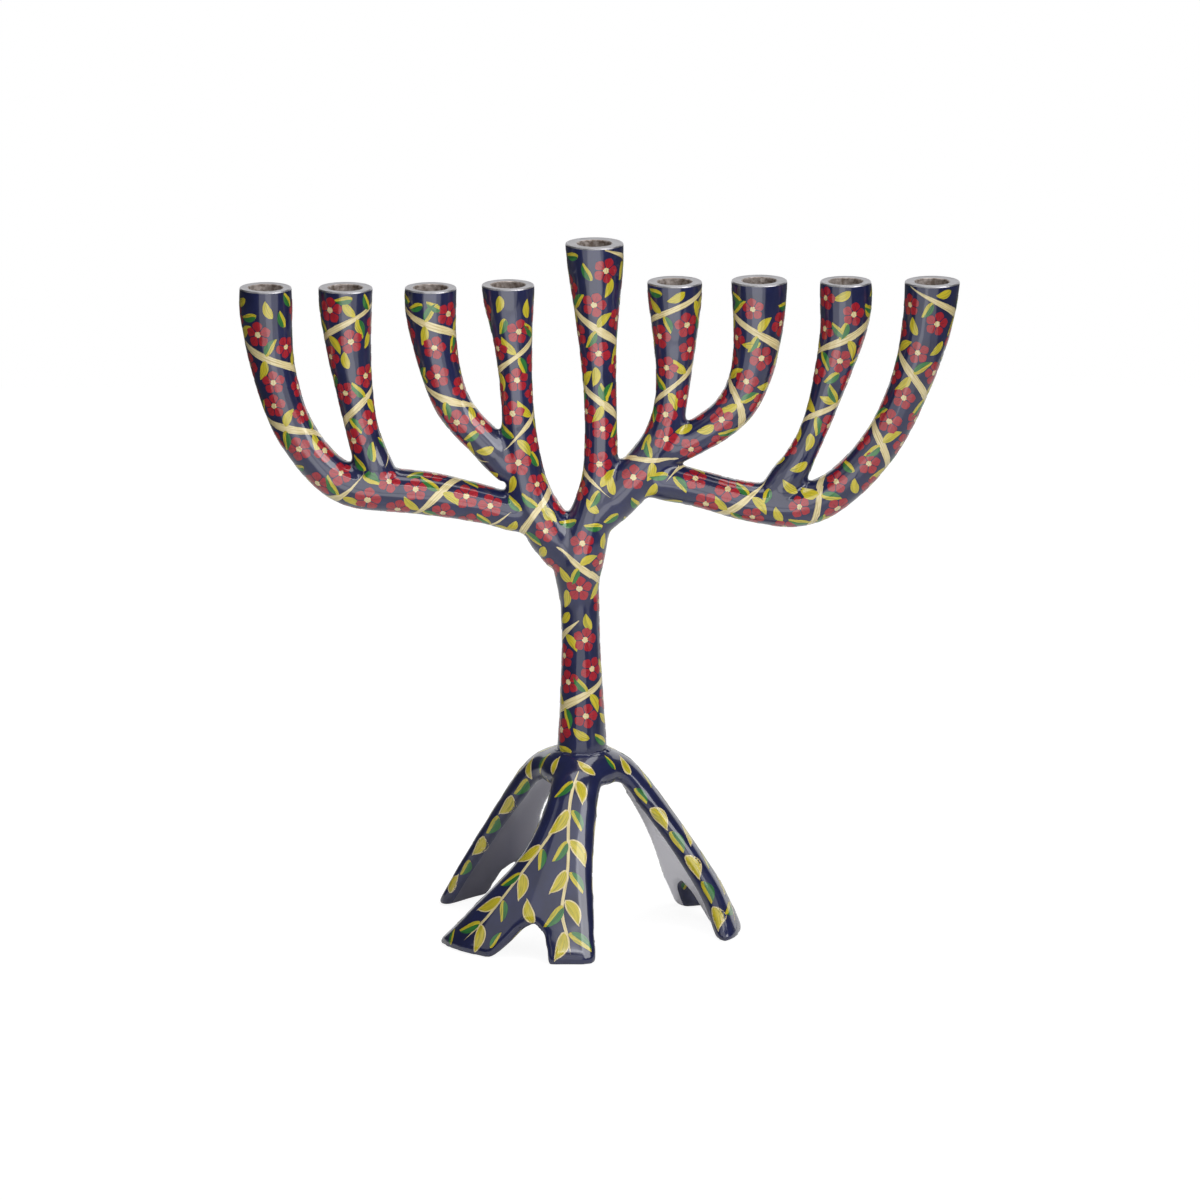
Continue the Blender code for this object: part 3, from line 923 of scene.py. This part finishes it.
class Paint:
    """All strokes of one colour."""

    def __init__(self, name, slot, material):
        self.name, self.slot, self.material = name, slot, material
        self.points, self.normals, self.marks, self.faces = [], [], [], []

    def add_point(self, place, normal, mark):
        """Adds a point with its mark, its place in the stroke in millimetres, and gives its number."""
        self.points.append(place)
        self.normals.append(normal)
        self.marks.append(mark)
        return len(self.points) - 1

    def build(self):
        """One mesh of all strokes. Its normals are the skin's, because the lacquer levels the paint."""
        mesh = bpy.data.meshes.new(self.name)
        mesh.from_pydata(self.points, [], self.faces)
        marks = mesh.uv_layers.new(name="stroke")
        for corner in mesh.loops:
            marks.data[corner.index].uv = self.marks[corner.vertex_index]
        mesh.shade_smooth()
        mesh.normals_split_custom_set_from_vertices(self.normals)
        add_piece(self.name, mesh, self.material)


random_start = random.Random(STREAK_SEED)


def stroke(paint, canvas, path, half_width, lift, across=STROKE_ACROSS):
    """One brush stroke along a path on a canvas. half_width gives its half width at a share of the way."""
    rows, travelled = [], 0.0
    start = random_start.uniform(0, STREAK_STARTS)
    for i, (x, y) in enumerate(path):
        ahead, behind = path[min(i + 1, len(path) - 1)], path[max(i - 1, 0)]
        run = Vector((ahead[0] - behind[0], ahead[1] - behind[1])).normalized()
        travelled += math.dist(path[i], path[max(i - 1, 0)])
        width = half_width(i / (len(path) - 1))
        row = []
        for k in range(-across, across + 1):
            aside = width * k / across
            found = canvas(x - run.y * aside, y + run.x * aside)
            if found is None:
                row.append(None)
                continue
            place, normal = found
            rise = lift * (1 - EDGE_THINNING * (k / across) ** 4)
            mark = (start + travelled / MM, aside / MM)
            row.append(paint.add_point(place + normal * rise, normal, mark))
        rows.append(row)
    for near, far in zip(rows, rows[1:]):
        for k in range(2 * across):
            corners = [near[k], far[k], far[k + 1], near[k + 1]]
            if None not in corners:
                paint.faces.append(corners)


def straight(start, end, steps):
    """Path straight ahead on a canvas."""
    return [(start + (end - start) * i / steps, 0.0) for i in range(steps + 1)]


def dot(paint, canvas, radius, lift):
    """Round dab."""
    path = straight(-radius, radius, DOT_STEPS)
    stroke(paint, canvas, path, lambda t: max(radius * math.sqrt(1 - (2 * t - 1) ** 2), THIN_END), lift)


def lens(half_width, lean=1.0):
    """Width of a leaf-shaped stroke: widest near its foot for a lean below 1, near its tip above 1."""
    return lambda t: max(half_width * math.sin(math.pi * t**lean) ** LENS_FULLNESS, THIN_END)


def petal_canvases(canvas_at, turn):
    """Canvases of a blossom's petals. canvas_at gives the blossom's canvas at a heading."""
    return [canvas_at(turn + petal * PETAL_TURN) for petal in range(PETALS)]


def blossom(paints, canvas_at, size, turn):
    """Five-petalled blossom with a cream eye."""
    long, wide = PETAL_LENGTH * size, PETAL_HALF_WIDTH * size
    for canvas in petal_canvases(canvas_at, turn):
        petal = straight(PETAL_START * long, long, PETAL_STEPS)
        stroke(paints["red"], canvas, petal, lens(wide, PETAL_LEAN), RED_LIFT)
        vein = straight(VEIN_START * long, VEIN_END * long, VEIN_STEPS)
        stroke(paints["dark_red"], canvas, vein, lens(VEIN_HALF_WIDTH), DETAIL_LIFT, across=1)
    dot(paints["cream"], canvas_at(turn), EYE_RADIUS * size, DETAIL_LIFT)


def leaf(paints, canvas, length, half_width, two_tone, outlined=False):
    """A leaf in one pull of a brush loaded with yellow, or with green over a yellow edge."""
    path = []
    for i in range(LEAF_STEPS + 1):
        path.append((length * i / LEAF_STEPS, LEAF_BEND * length * math.sin(math.pi * i / LEAF_STEPS)))
    if outlined:
        wider = [(-OUTLINE_WIDTH, 0.0), *path, (length + 2 * OUTLINE_WIDTH, 0.0)]
        stroke(paints["cream"], canvas, wider, lens(half_width + OUTLINE_WIDTH, LEAF_LEAN), CREAM_LIFT)
    stroke(paints["yellow"], canvas, path, lens(half_width, LEAF_LEAN), YELLOW_LIFT)
    if two_tone:
        inner = [(x, y + GREEN_SHIFT * half_width) for x, y in path[1:-1]]
        stroke(paints["green"], canvas, inner, lens(GREEN_WIDTH * half_width, LEAF_LEAN), GREEN_LIFT)


# Where the sides of a motif are tried, as shares of its reach and of its half width.
MOTIF_SIDES = [(0.25, 0.8), (0.5, 1.0), (0.75, 0.8)]


def fits(canvas, reach, half_width):
    """Whether a motif of this size has skin under both its ends and all along its sides."""
    spots = [(0.0, 0.0), (reach, 0.0)]
    for share, width in MOTIF_SIDES:
        spots += [(reach * share, side * width * half_width) for side in (1, -1)]
    return all(canvas(x, y) for x, y in spots)


def clear(place, taken, distance):
    """Whether a place is further than this from all that are taken."""
    return all((place - other).length > distance for other in taken)


def vine_runs(limb, canvas, wrap, first_turn, hand):
    """The unbroken runs of a vine that winds round a limb, as points of its unrolled skin."""
    runs = [[]]
    for i in range(int(limb.length / STROKE_STEP)):
        along = (i + 1) * STROKE_STEP
        sway = VINE_SWAY * math.sin(along / VINE_SWAY_LENGTH + first_turn)
        point = (along, (first_turn + hand * 2 * math.pi * along / VINE_PITCH + sway) * wrap)
        if canvas(*point):
            runs[-1].append(point)
        elif runs[-1]:
            runs.append([])
    return [run for run in runs if len(run) * STROKE_STEP > SHORTEST_VINE]


def dress_limb(paints, limb, skin, first_turn, hand, draw, taken, vine):
    """A cream vine winding round a limb, with blossoms and leaves by turns on both its sides."""
    wrap = sum(limb.radii) / len(limb.radii)
    canvas = limb.canvas(skin, 0.0, 0.0, radius=wrap)
    for path in vine_runs(limb, canvas, wrap, first_turn, hand):
        waves = len(path) * STROKE_STEP / VINE_SWELL_LENGTH
        taper = len(path) * STROKE_STEP / VINE_TAPER

        def half_width(t):
            """Swells and thins as a line pulled by hand does, and tapers at both ends."""
            swell = 0.9 + 0.2 * math.sin(waves * t + first_turn) + 0.1 * math.sin(2.7 * waves * t)
            return max(VINE_HALF_WIDTH * swell * min(1.0, taper * t + 0.15, taper * (1 - t)), THIN_END)

        stroke(paints["cream"], canvas, path, half_width, CREAM_LIFT)
        vine.extend(canvas(*point)[0] for point in path[::VINE_MARK_EVERY])
        dress_vine(paints, limb, skin, path, wrap, draw, taken)


def dress_vine(paints, limb, skin, path, wrap, draw, taken):
    """Blossoms and leaves by turns along a vine."""
    sprays, travelled = [], FIRST_SPRAY * SPRAY_SPACING
    for before, here in zip(path, path[1:]):
        travelled += math.dist(before, here)
        if travelled > SPRAY_SPACING / 2:
            travelled = 0.0
            sprays.append((here, math.atan2(here[1] - before[1], here[0] - before[0])))
    for (along, turn), heading in sprays[0::2]:
        for side in (1, -1):
            add_blossom(paints, limb, skin, along, turn / wrap, heading + side * math.pi / 2, draw, taken)
    for count, ((along, turn), heading) in enumerate(sprays[1::2]):
        for side in (1, -1):
            two_tone = (count + (side > 0)) % 2 == 0
            lean = heading + side * draw.uniform(*LEAF_TURNS)
            add_leaf(paints, limb, skin, along, turn / wrap, lean, two_tone, draw, taken)


def add_blossom(paints, limb, skin, along, angle, heading, draw, taken):
    """One blossom beside the vine, unless another is too near."""
    reach = BLOSSOM_OFFSET * draw.uniform(*BLOSSOM_OFFSETS)
    along += reach * math.cos(heading)
    angle += reach * math.sin(heading) / limb.at(along)[2]
    size, turn = draw.uniform(*BLOSSOM_SIZES), draw.uniform(0, math.pi)
    if not PETAL_LENGTH < along < limb.length:
        return
    canvas_at = lambda heading: limb.canvas(skin, along, angle, heading)
    spread = PETAL_LENGTH * size
    whole = all(fits(canvas, spread, PETAL_ROOM * spread) for canvas in petal_canvases(canvas_at, turn))
    if whole and clear(canvas_at(0.0)(0.0, 0.0)[0], taken, BLOSSOM_CLEARANCE):
        taken.append(canvas_at(0.0)(0.0, 0.0)[0])
        blossom(paints, canvas_at, size, turn)


def add_leaf(paints, limb, skin, along, angle, heading, two_tone, draw, taken):
    """One leaf on the vine, unless a blossom is in its way."""
    canvas = limb.canvas(skin, along, angle, heading)
    shifted = lambda x, y: canvas(x + LEAF_START * VINE_HALF_WIDTH, y)
    length = LEAF_LENGTH * draw.uniform(*LEAF_SIZES)
    if fits(shifted, length, LEAF_HALF_WIDTH):
        if clear(shifted(LEAF_HEART * length, 0.0)[0], taken, LEAF_CLEARANCE):
            leaf(paints, shifted, length, LEAF_HALF_WIDTH, two_tone)


def downhill(way, heading):
    """Direction on a face that looks this way: straight down it, turned aside by heading."""
    aside = way.cross(UP).normalized()
    return aside.cross(way) * math.cos(heading) + aside * math.sin(heading)


def flat_canvas(skin, place, way, forward, wanted):
    """Patch of a skin looked at squarely: (forward, left) of a place, to a wanted place on the skin."""
    left = way.cross(forward).normalized()
    ahead = left.cross(way)

    def spot(x, y):
        found = skin.hit(place + ahead * x + left * y + way * CANVAS_DEPTH, -way, 2 * CANVAS_DEPTH)
        return found if found and wanted(*found) else None

    return spot


def scatter_blossoms(paints, skin, draw, taken, vine):
    """Blossoms and leaves where the vine left the enamel bare, as under the rims and in the forks."""
    for _ in range(SCATTER_TRIES):
        spot = skin.chance_spot(draw)
        turn, size = draw.uniform(0, math.pi), draw.uniform(*SCATTERED_SIZES)
        two_tone = draw.random() < TWO_TONE_SHARE
        if not spot:
            continue
        place, normal = spot
        faced = lambda spot, facing: facing.dot(normal) > CANVAS_TILT
        canvas_at = lambda heading: flat_canvas(skin, place, normal, downhill(normal, heading), faced)
        if clear(place, taken, BLOSSOM_CLEARANCE) and clear(place, vine, VINE_CLEARANCE):
            petals = petal_canvases(canvas_at, turn)
            if all(fits(petal, PETAL_LENGTH * size, PETAL_ROOM * PETAL_LENGTH) for petal in petals):
                taken.append(place)
                blossom(paints, canvas_at, size, turn)
        elif clear(place, taken, SCATTERED_LEAF_CLEARANCE) and clear(place, vine, LEAF_FROM_VINE):
            length = LEAF_LENGTH * size
            canvas = canvas_at(turn)
            centred = lambda x, y: canvas(x - length / 2, y)
            if fits(centred, length, LEAF_HALF_WIDTH):
                taken.append(place)
                leaf(paints, centred, length, LEAF_HALF_WIDTH, two_tone)


# Fronds on the roots


class Rib:
    """A line along a root that a frond is painted on: places on the skin, with its normals."""

    def __init__(self, spots):
        self.places = [place for place, _ in spots]
        self.normals = [normal for _, normal in spots]
        for _ in range(RIB_EVENING):
            self.places, self.normals = evened(self.places), evened(self.normals)
        self.reached = distances(self.places)
        self.length = self.reached[-1]

    def at(self, along):
        """Place, normal and direction at this distance from the upper end."""
        i, share = stretch_at(self.reached, along)
        normal = self.normals[i].lerp(self.normals[i + 1], min(max(share, 0.0), 1.0)).normalized()
        direction = (self.places[i + 1] - self.places[i]).normalized()
        return self.places[i].lerp(self.places[i + 1], share), normal, direction

    def canvas(self, skin):
        """Strip of the root: (along the rib, left of it) to a place on the skin."""

        def spot(x, y):
            place, normal, direction = self.at(x)
            start = place + normal.cross(direction) * y + normal * CANVAS_DEPTH
            found = skin.hit(start, -normal, 2 * CANVAS_DEPTH)
            return found if found and found[1].dot(normal) > CANVAS_TILT else None

        return spot


def outward(azimuth):
    """Level direction at this azimuth, which is 0 towards the front and grows to the right."""
    return Vector((math.sin(azimuth), -math.cos(azimuth), 0.0))


def azimuth_of(point, axis):
    """Azimuth of a point round the trunk's axis."""
    return math.atan2(point.x - axis.x, axis.y - point.y)


def root_azimuth(name, axis):
    """Azimuth of a root's crown."""
    points = [vert.co for vert in frame["nodes"][name].data.vertices]
    top = max(p.z for p in points)
    return azimuth_of(axis + sum((p - axis for p in points if p.z > top - CROWN_TOP), Vector()), axis)


def outer_spot(skin, axis, azimuth, level):
    """Where a root's outer face is met from outside at this azimuth and level, or None."""
    way = (outward(azimuth) * LOOK_OUT + UP * LOOK_UP).normalized()
    face = axis + UP * level + outward(azimuth) * (ROOT_REACH - ROOT_SLOPE * level)
    found = skin.hit(face + way * LOOK_FROM, -way, LOOK_DEPTH)
    return found if found and found[1].dot(way) > LOOK_TILT else None


def toe_spans(skin, axis, crown, level):
    """The spans of azimuth that a root's outer face fills at this level: one, or two below the fork."""
    spans = []
    last = None
    for i in range(-SCAN_STEPS, SCAN_STEPS + 1):
        azimuth = crown + i * SCAN_STEP
        if outer_spot(skin, axis, azimuth, level) is None:
            continue
        if last == i - 1:
            spans[-1][1] = azimuth
        else:
            spans.append([azimuth, azimuth])
        last = i
    return [span for span in spans if span[1] - span[0] > NARROWEST_SPAN]


def toe_rib(skin, axis, crown, side, first_level):
    """Rib on the outer face, from the crown to the left toe (side -1) or the right one (side 1)."""
    spots = []
    for level in ROOT_LEVELS:
        spans = toe_spans(skin, axis, crown, level) if level <= first_level else []
        if not spans:
            continue
        start, end = spans[0] if side < 0 else spans[-1]
        spread = min(max((FORK_FROM - level) / (FORK_FROM - FORK_WHOLE), 0.0), 1.0)
        share = 0.5 + 0.25 * side * spread if len(spans) == 1 else 0.5
        found = outer_spot(skin, axis, start + (end - start) * share, level)
        if found:
            spots.append(found)
    return Rib(spots)


def edge_rib(skin, axis, crown, side):
    """Rib along a root's side face: out sideways from the middle of the metal, at every level."""
    spots = []
    for level in EDGE_LEVELS:
        spans = toe_spans(skin, axis, crown, level)
        if not spans:
            continue
        azimuth = spans[0][0] + EDGE_INSET if side < 0 else spans[-1][1] - EDGE_INSET
        outside = outer_spot(skin, axis, azimuth, level)
        if not outside:
            continue
        heart = outside[0] - outside[1] * HALF_METAL
        found = skin.hit(heart, outward(azimuth + side * math.pi / 2), SIDE_REACH)
        if found:
            spots.append(found)
    return Rib(spots)


def root_leaf(paints, skin, place, normal, forward, size, two_tone, taken, clearance):
    """A leaf centred on a place on a root. Gives False where another is too near or the enamel ends."""
    if not clear(place, taken, clearance):
        return False
    axis = trunk_axis()
    long, wide = FROND_LEAF_LENGTH * size, FROND_LEAF_HALF_WIDTH * size
    sound = lambda spot, facing: (
        facing.dot(normal) > CANVAS_TILT
        and spot.z > LEAF_FROM_SOLE
        and looks_bare(spot, facing, axis) < BARE_FROM - LEAF_FROM_BARE
    )
    tried = flat_canvas(skin, place, normal, forward, sound)
    laid = flat_canvas(skin, place, normal, forward, lambda spot, facing: True)
    if not fits(lambda x, y: tried(x - long / 2, y), long, wide + OUTLINE_WIDTH):
        return False
    taken.append(place)
    leaf(paints, lambda x, y: laid(x - long / 2, y), long, wide, two_tone, outlined=not two_tone)
    return True


def paint_frond(paints, skin, rib, draw, taken, start):
    """A cream stem along a rib, with pairs of leaves: outlined yellow and two-tone green ones by turns."""
    strip = rib.canvas(skin)
    steps = int((rib.length - start) / STROKE_STEP)
    path = [(start + i * STROKE_STEP, 0.0) for i in range(steps)]
    full = lambda t: min(1.0, STEM_TAPER * t + STEM_START, STEM_TAPER * (1 - t))
    stroke(paints["cream"], strip, path, lambda t: max(STEM_HALF_WIDTH * full(t), THIN_END), CREAM_LIFT)
    along, count = start + FROND_FIRST * FROND_SPACING, 0
    while along < rib.length - FROND_LAST * FROND_LEAF_LENGTH:
        _, normal, direction = rib.at(along)
        for side in (1, -1):
            heading = side * FROND_LEAN * draw.uniform(*FROND_LEANS)
            size = draw.uniform(*FROND_LEAF_SIZES)
            reach = FROND_STALK + FROND_LEAF_LENGTH * size / 2
            forward = direction * math.cos(heading) + normal.cross(direction) * math.sin(heading)
            found = strip(along + reach * math.cos(heading), reach * math.sin(heading))
            if found:
                two_tone = (count + (side > 0)) % 2 == 0
                root_leaf(paints, skin, *found, forward, size, two_tone, taken, FROND_CLEARANCE)
        along += FROND_SPACING
        count += 1


def paint_edge(paints, skin, rib, taken):
    """A row of single leaves, one after another and as large as will fit, along a root's side face."""
    strip = rib.canvas(skin)
    along, count = FROND_LEAF_LENGTH / 2, 0
    while along < rib.length - FROND_LEAF_LENGTH / 2:
        found = strip(along, 0.0)
        forward, two_tone = rib.at(along)[2], count % 2 == 0
        for size in EDGE_LEAF_SIZES if found else ():
            if root_leaf(paints, skin, *found, forward, size, two_tone, taken, FROND_CLEARANCE):
                break
        along += EDGE_SPACING
        count += 1


def scatter_leaves(paints, skin, draw, taken):
    """Leaves pointing down the roots, where fronds and rows leave the enamel bare, as on the crown."""
    for _ in range(SCATTER_TRIES):
        spot = skin.chance_spot(draw)
        heading, size = draw.uniform(*SCATTERED_LEANS), draw.uniform(*SCATTERED_LEAF_SIZES)
        two_tone = draw.random() < TWO_TONE_SHARE
        if spot and abs(spot[1].z) < FLATTEST_LEAF:
            forward = downhill(spot[1], heading)
            root_leaf(paints, skin, *spot, forward, size, two_tone, taken, ROOT_LEAF_CLEARANCE)


def dress_root(paints, name, skin, draw, taken):
    """A frond down to each toe of a root, and a row of leaves along both its side faces."""
    axis = trunk_axis()
    crown = root_azimuth(name, axis)
    right, left = toe_rib(skin, axis, crown, 1, ROOT_LEVELS[0]), toe_rib(skin, axis, crown, -1, FORK_FROM)
    paint_frond(paints, skin, right, draw, taken, RIGHT_FROND_START)
    paint_frond(paints, skin, left, draw, taken, LEFT_FROND_START)
    for side in (-1, 1):
        paint_edge(paints, skin, edge_rib(skin, axis, crown, side), taken)


# Stage, lights and camera


# The paper and the floor end at the same front edge, so that limbs mirror the low box beyond it.
TABLE_FRONT = -0.42
PAPER_LEFT = -0.3
PAPER_RIGHT = 0.45
PAPER_BACK = 0.9
PAPER_LEVEL = -0.05 * MM
PAPER_GLOW = 0.9
PAPER_SHADED = 0.2
PAPER_BOUNCE = 0.8
FLOOR_REACH = 8.0
FLOOR_LEVEL = -1 * MM
FLOOR_BOUNCE = 0.12
FILL = 0.048


def grey(level):
    """Grey of this brightness."""
    return (level, level, level, 1)


def white_paper():
    """Matt white paper: plain white to the eye, with only a faint shadow."""
    material, tree, output = new_material("white_paper")
    path = add_node(tree, "ShaderNodeLightPath").outputs
    rays = {0: path["Is Camera Ray"], 1: path["Is Transmission Ray"]}
    seen = add_node(tree, "ShaderNodeMath", rays, operation="MAXIMUM")
    glow = add_node(tree, "ShaderNodeEmission", {"Strength": PAPER_GLOW})
    shaded = add_node(tree, "ShaderNodeBsdfDiffuse", {"Color": grey(PAPER_SHADED)})
    white = add_node(tree, "ShaderNodeAddShader", {0: glow.outputs[0], 1: shaded.outputs[0]})
    bounce = add_node(tree, "ShaderNodeBsdfDiffuse", {"Color": grey(PAPER_BOUNCE)})
    mix = add_node(
        tree, "ShaderNodeMixShader", {0: seen.outputs[0], 1: bounce.outputs[0], 2: white.outputs[0]}
    )
    tree.links.new(mix.outputs[0], output.inputs["Surface"])
    return material


def studio_floor():
    """The floor beyond the paper: white to the eye like the background, and dim in reflections."""
    material, tree, output = new_material("studio_floor")
    camera_ray = add_node(tree, "ShaderNodeLightPath").outputs["Is Camera Ray"]
    white = add_node(tree, "ShaderNodeEmission", {"Strength": 1.0})
    bounce = add_node(tree, "ShaderNodeBsdfDiffuse", {"Color": grey(FLOOR_BOUNCE)})
    mix = add_node(tree, "ShaderNodeMixShader", {0: camera_ray, 1: bounce.outputs[0], 2: white.outputs[0]})
    tree.links.new(mix.outputs[0], output.inputs["Surface"])
    return material


def lay_sheet(name, left, right, near, far, height, material):
    """Level sheet under the candelabrum."""
    mesh = bpy.data.meshes.new(name)
    corners = [(left, near), (right, near), (right, far), (left, far)]
    mesh.from_pydata([(x, y, height) for x, y in corners], [], [(0, 1, 2, 3)])
    mesh.materials.append(material)
    new_object(name, mesh)


def light_world(fill):
    """White to the camera, and a dim even fill to everything else."""
    world = bpy.data.worlds.new("studio")
    bpy.context.scene.world = world
    world.use_nodes = True
    tree = world.node_tree
    tree.nodes.clear()
    output = add_node(tree, "ShaderNodeOutputWorld")
    camera_ray = add_node(tree, "ShaderNodeLightPath").outputs["Is Camera Ray"]
    strength = add_node(tree, "ShaderNodeMapRange", {"Value": camera_ray, "To Min": fill, "To Max": 1.0})
    sky = add_node(
        tree, "ShaderNodeBackground", {"Color": grey(1.0), "Strength": strength.outputs["Result"]}
    )
    tree.links.new(sky.outputs["Background"], output.inputs["Surface"])


def soft_box(name, place, width, height, brightness):
    """Flat soft light, turned to the candelabrum, and this many times as bright as white paper."""
    lamp = bpy.data.lights.new(name, "AREA")
    lamp.shape = "RECTANGLE"
    lamp.size, lamp.size_y = width, height
    lamp.energy = brightness * math.pi * width * height
    box = bpy.data.objects.new(name, lamp)
    bpy.context.scene.collection.objects.link(box)
    box.location = place
    middle = (cad_box[0] + cad_box[1]) / 2
    box.rotation_euler = (middle - Vector(place)).to_track_quat("-Z", "Y").to_euler()


def light_studio():
    """Soft boxes all round: where each stands, its width and height, and how bright it is."""
    light_world(FILL)
    soft_box("overhead_box", (0.2, 0.1, 1.6), 1.0, 1.5, 2.4)
    soft_box("front_window", (0.0, -5.0, 1.75), 4.6, 3.4, 0.9)
    soft_box("front_line", (0.2, -2.5, 2.25), 2.4, 0.08, 7.0)
    soft_box("low_front_box", (-0.15, -4.0, -1.42), 4.0, 2.6, 1.05)
    soft_box("root_box", (-0.02, -0.13, 0.17), 0.2, 0.16, 0.95)
    soft_box("left_box", (-2.2, -0.8, 1.6), 1.4, 1.4, 0.6)
    soft_box("right_box", (1.3, -1.1, 1.1), 1.2, 1.2, 3.6)
    soft_box("back_card", (0.2, 1.9, 0.6), 3.2, 1.2, 0.9)


def place_camera():
    """Camera of the photograph: where it stands, and how it is turned to frame the candelabrum as shown."""
    focal = FOOT_SCALE * CAMERA_DISTANCE
    elevation = math.radians(CAMERA_ELEVATION)
    camera = bpy.data.cameras.new("camera")
    camera.sensor_width = SENSOR_WIDTH
    camera.lens = focal / IMAGE_SIZE * SENSOR_WIDTH
    eye = bpy.data.objects.new("camera", camera)
    bpy.context.scene.collection.objects.link(eye)
    eye.location = trunk_axis() + CAMERA_DISTANCE * Vector((0.0, -math.cos(elevation), math.sin(elevation)))
    drop = math.atan((FOOT_PIXEL[1] - IMAGE_SIZE / 2) / focal)
    turn = math.atan((FOOT_PIXEL[0] - IMAGE_SIZE / 2) / focal)
    eye.rotation_euler = (math.pi / 2 - elevation + drop, 0.0, turn)
    bpy.context.scene.camera = eye


# Everything together


# Each colour's slot in the record, and its tones where the paint is thin and where it is full.
COLOURS = {
    "cream": ("cream_paint", "#b9a66a", "#e3d3a0"),
    "yellow": ("yellow_paint", "#8d8c24", "#cdbb2c"),
    "green": ("green_paint", "#1a5226", "#2e7836"),
    "red": ("red_paint", "#8c1524", "#a81a2a"),
    "dark_red": ("red_paint", "#5d0f1d", "#701323"),
}


def main():
    """The whole scene, in the order in which it is built."""
    bpy.context.scene.view_settings.view_transform = "Standard"
    place_camera()
    light_studio()
    lay_sheet("paper", PAPER_LEFT, PAPER_RIGHT, TABLE_FRONT, PAPER_BACK, PAPER_LEVEL, white_paper())
    floor_sides = (-FLOOR_REACH, FLOOR_REACH, TABLE_FRONT, FLOOR_REACH)
    lay_sheet("studio_floor", *floor_sides, FLOOR_LEVEL, studio_floor())
    enamel, bare = navy_enamel(), bare_casting()
    limbs = find_limbs()
    tree = build_tree(limbs, enamel, ground_rim(), drilled_socket())
    root_names = sorted(name for name in frame["nodes"] if name.startswith("root_") and name != "root_hub")
    roots = build_roots(root_names, limbs[0], enamel, bare)
    paints = {}
    for colour, (slot, thin, full) in COLOURS.items():
        paints[colour] = Paint("paint_" + colour, slot, brushed_paint("enamel_" + colour, thin, full))
    draw, taken, vine = random.Random(DRAW_SEED), [], []
    for number, limb in enumerate(limbs):
        dress_limb(paints, limb, tree, VINE_TURN * number, 1 if number % 2 else -1, draw, taken, vine)
    scatter_blossoms(paints, tree, random.Random(SCATTER_SEED), taken, vine)
    leaves = []
    for name in root_names:
        dress_root(paints, name, roots, draw, leaves)
    scatter_leaves(paints, roots, random.Random(SCATTER_SEED), leaves)
    for paint in paints.values():
        paint.build()
    plated = zinc_steel()
    for name in ("trunk_screw", "washer"):
        frame["nodes"][name].data.materials.clear()
        frame["nodes"][name].data.materials.append(plated)


main()
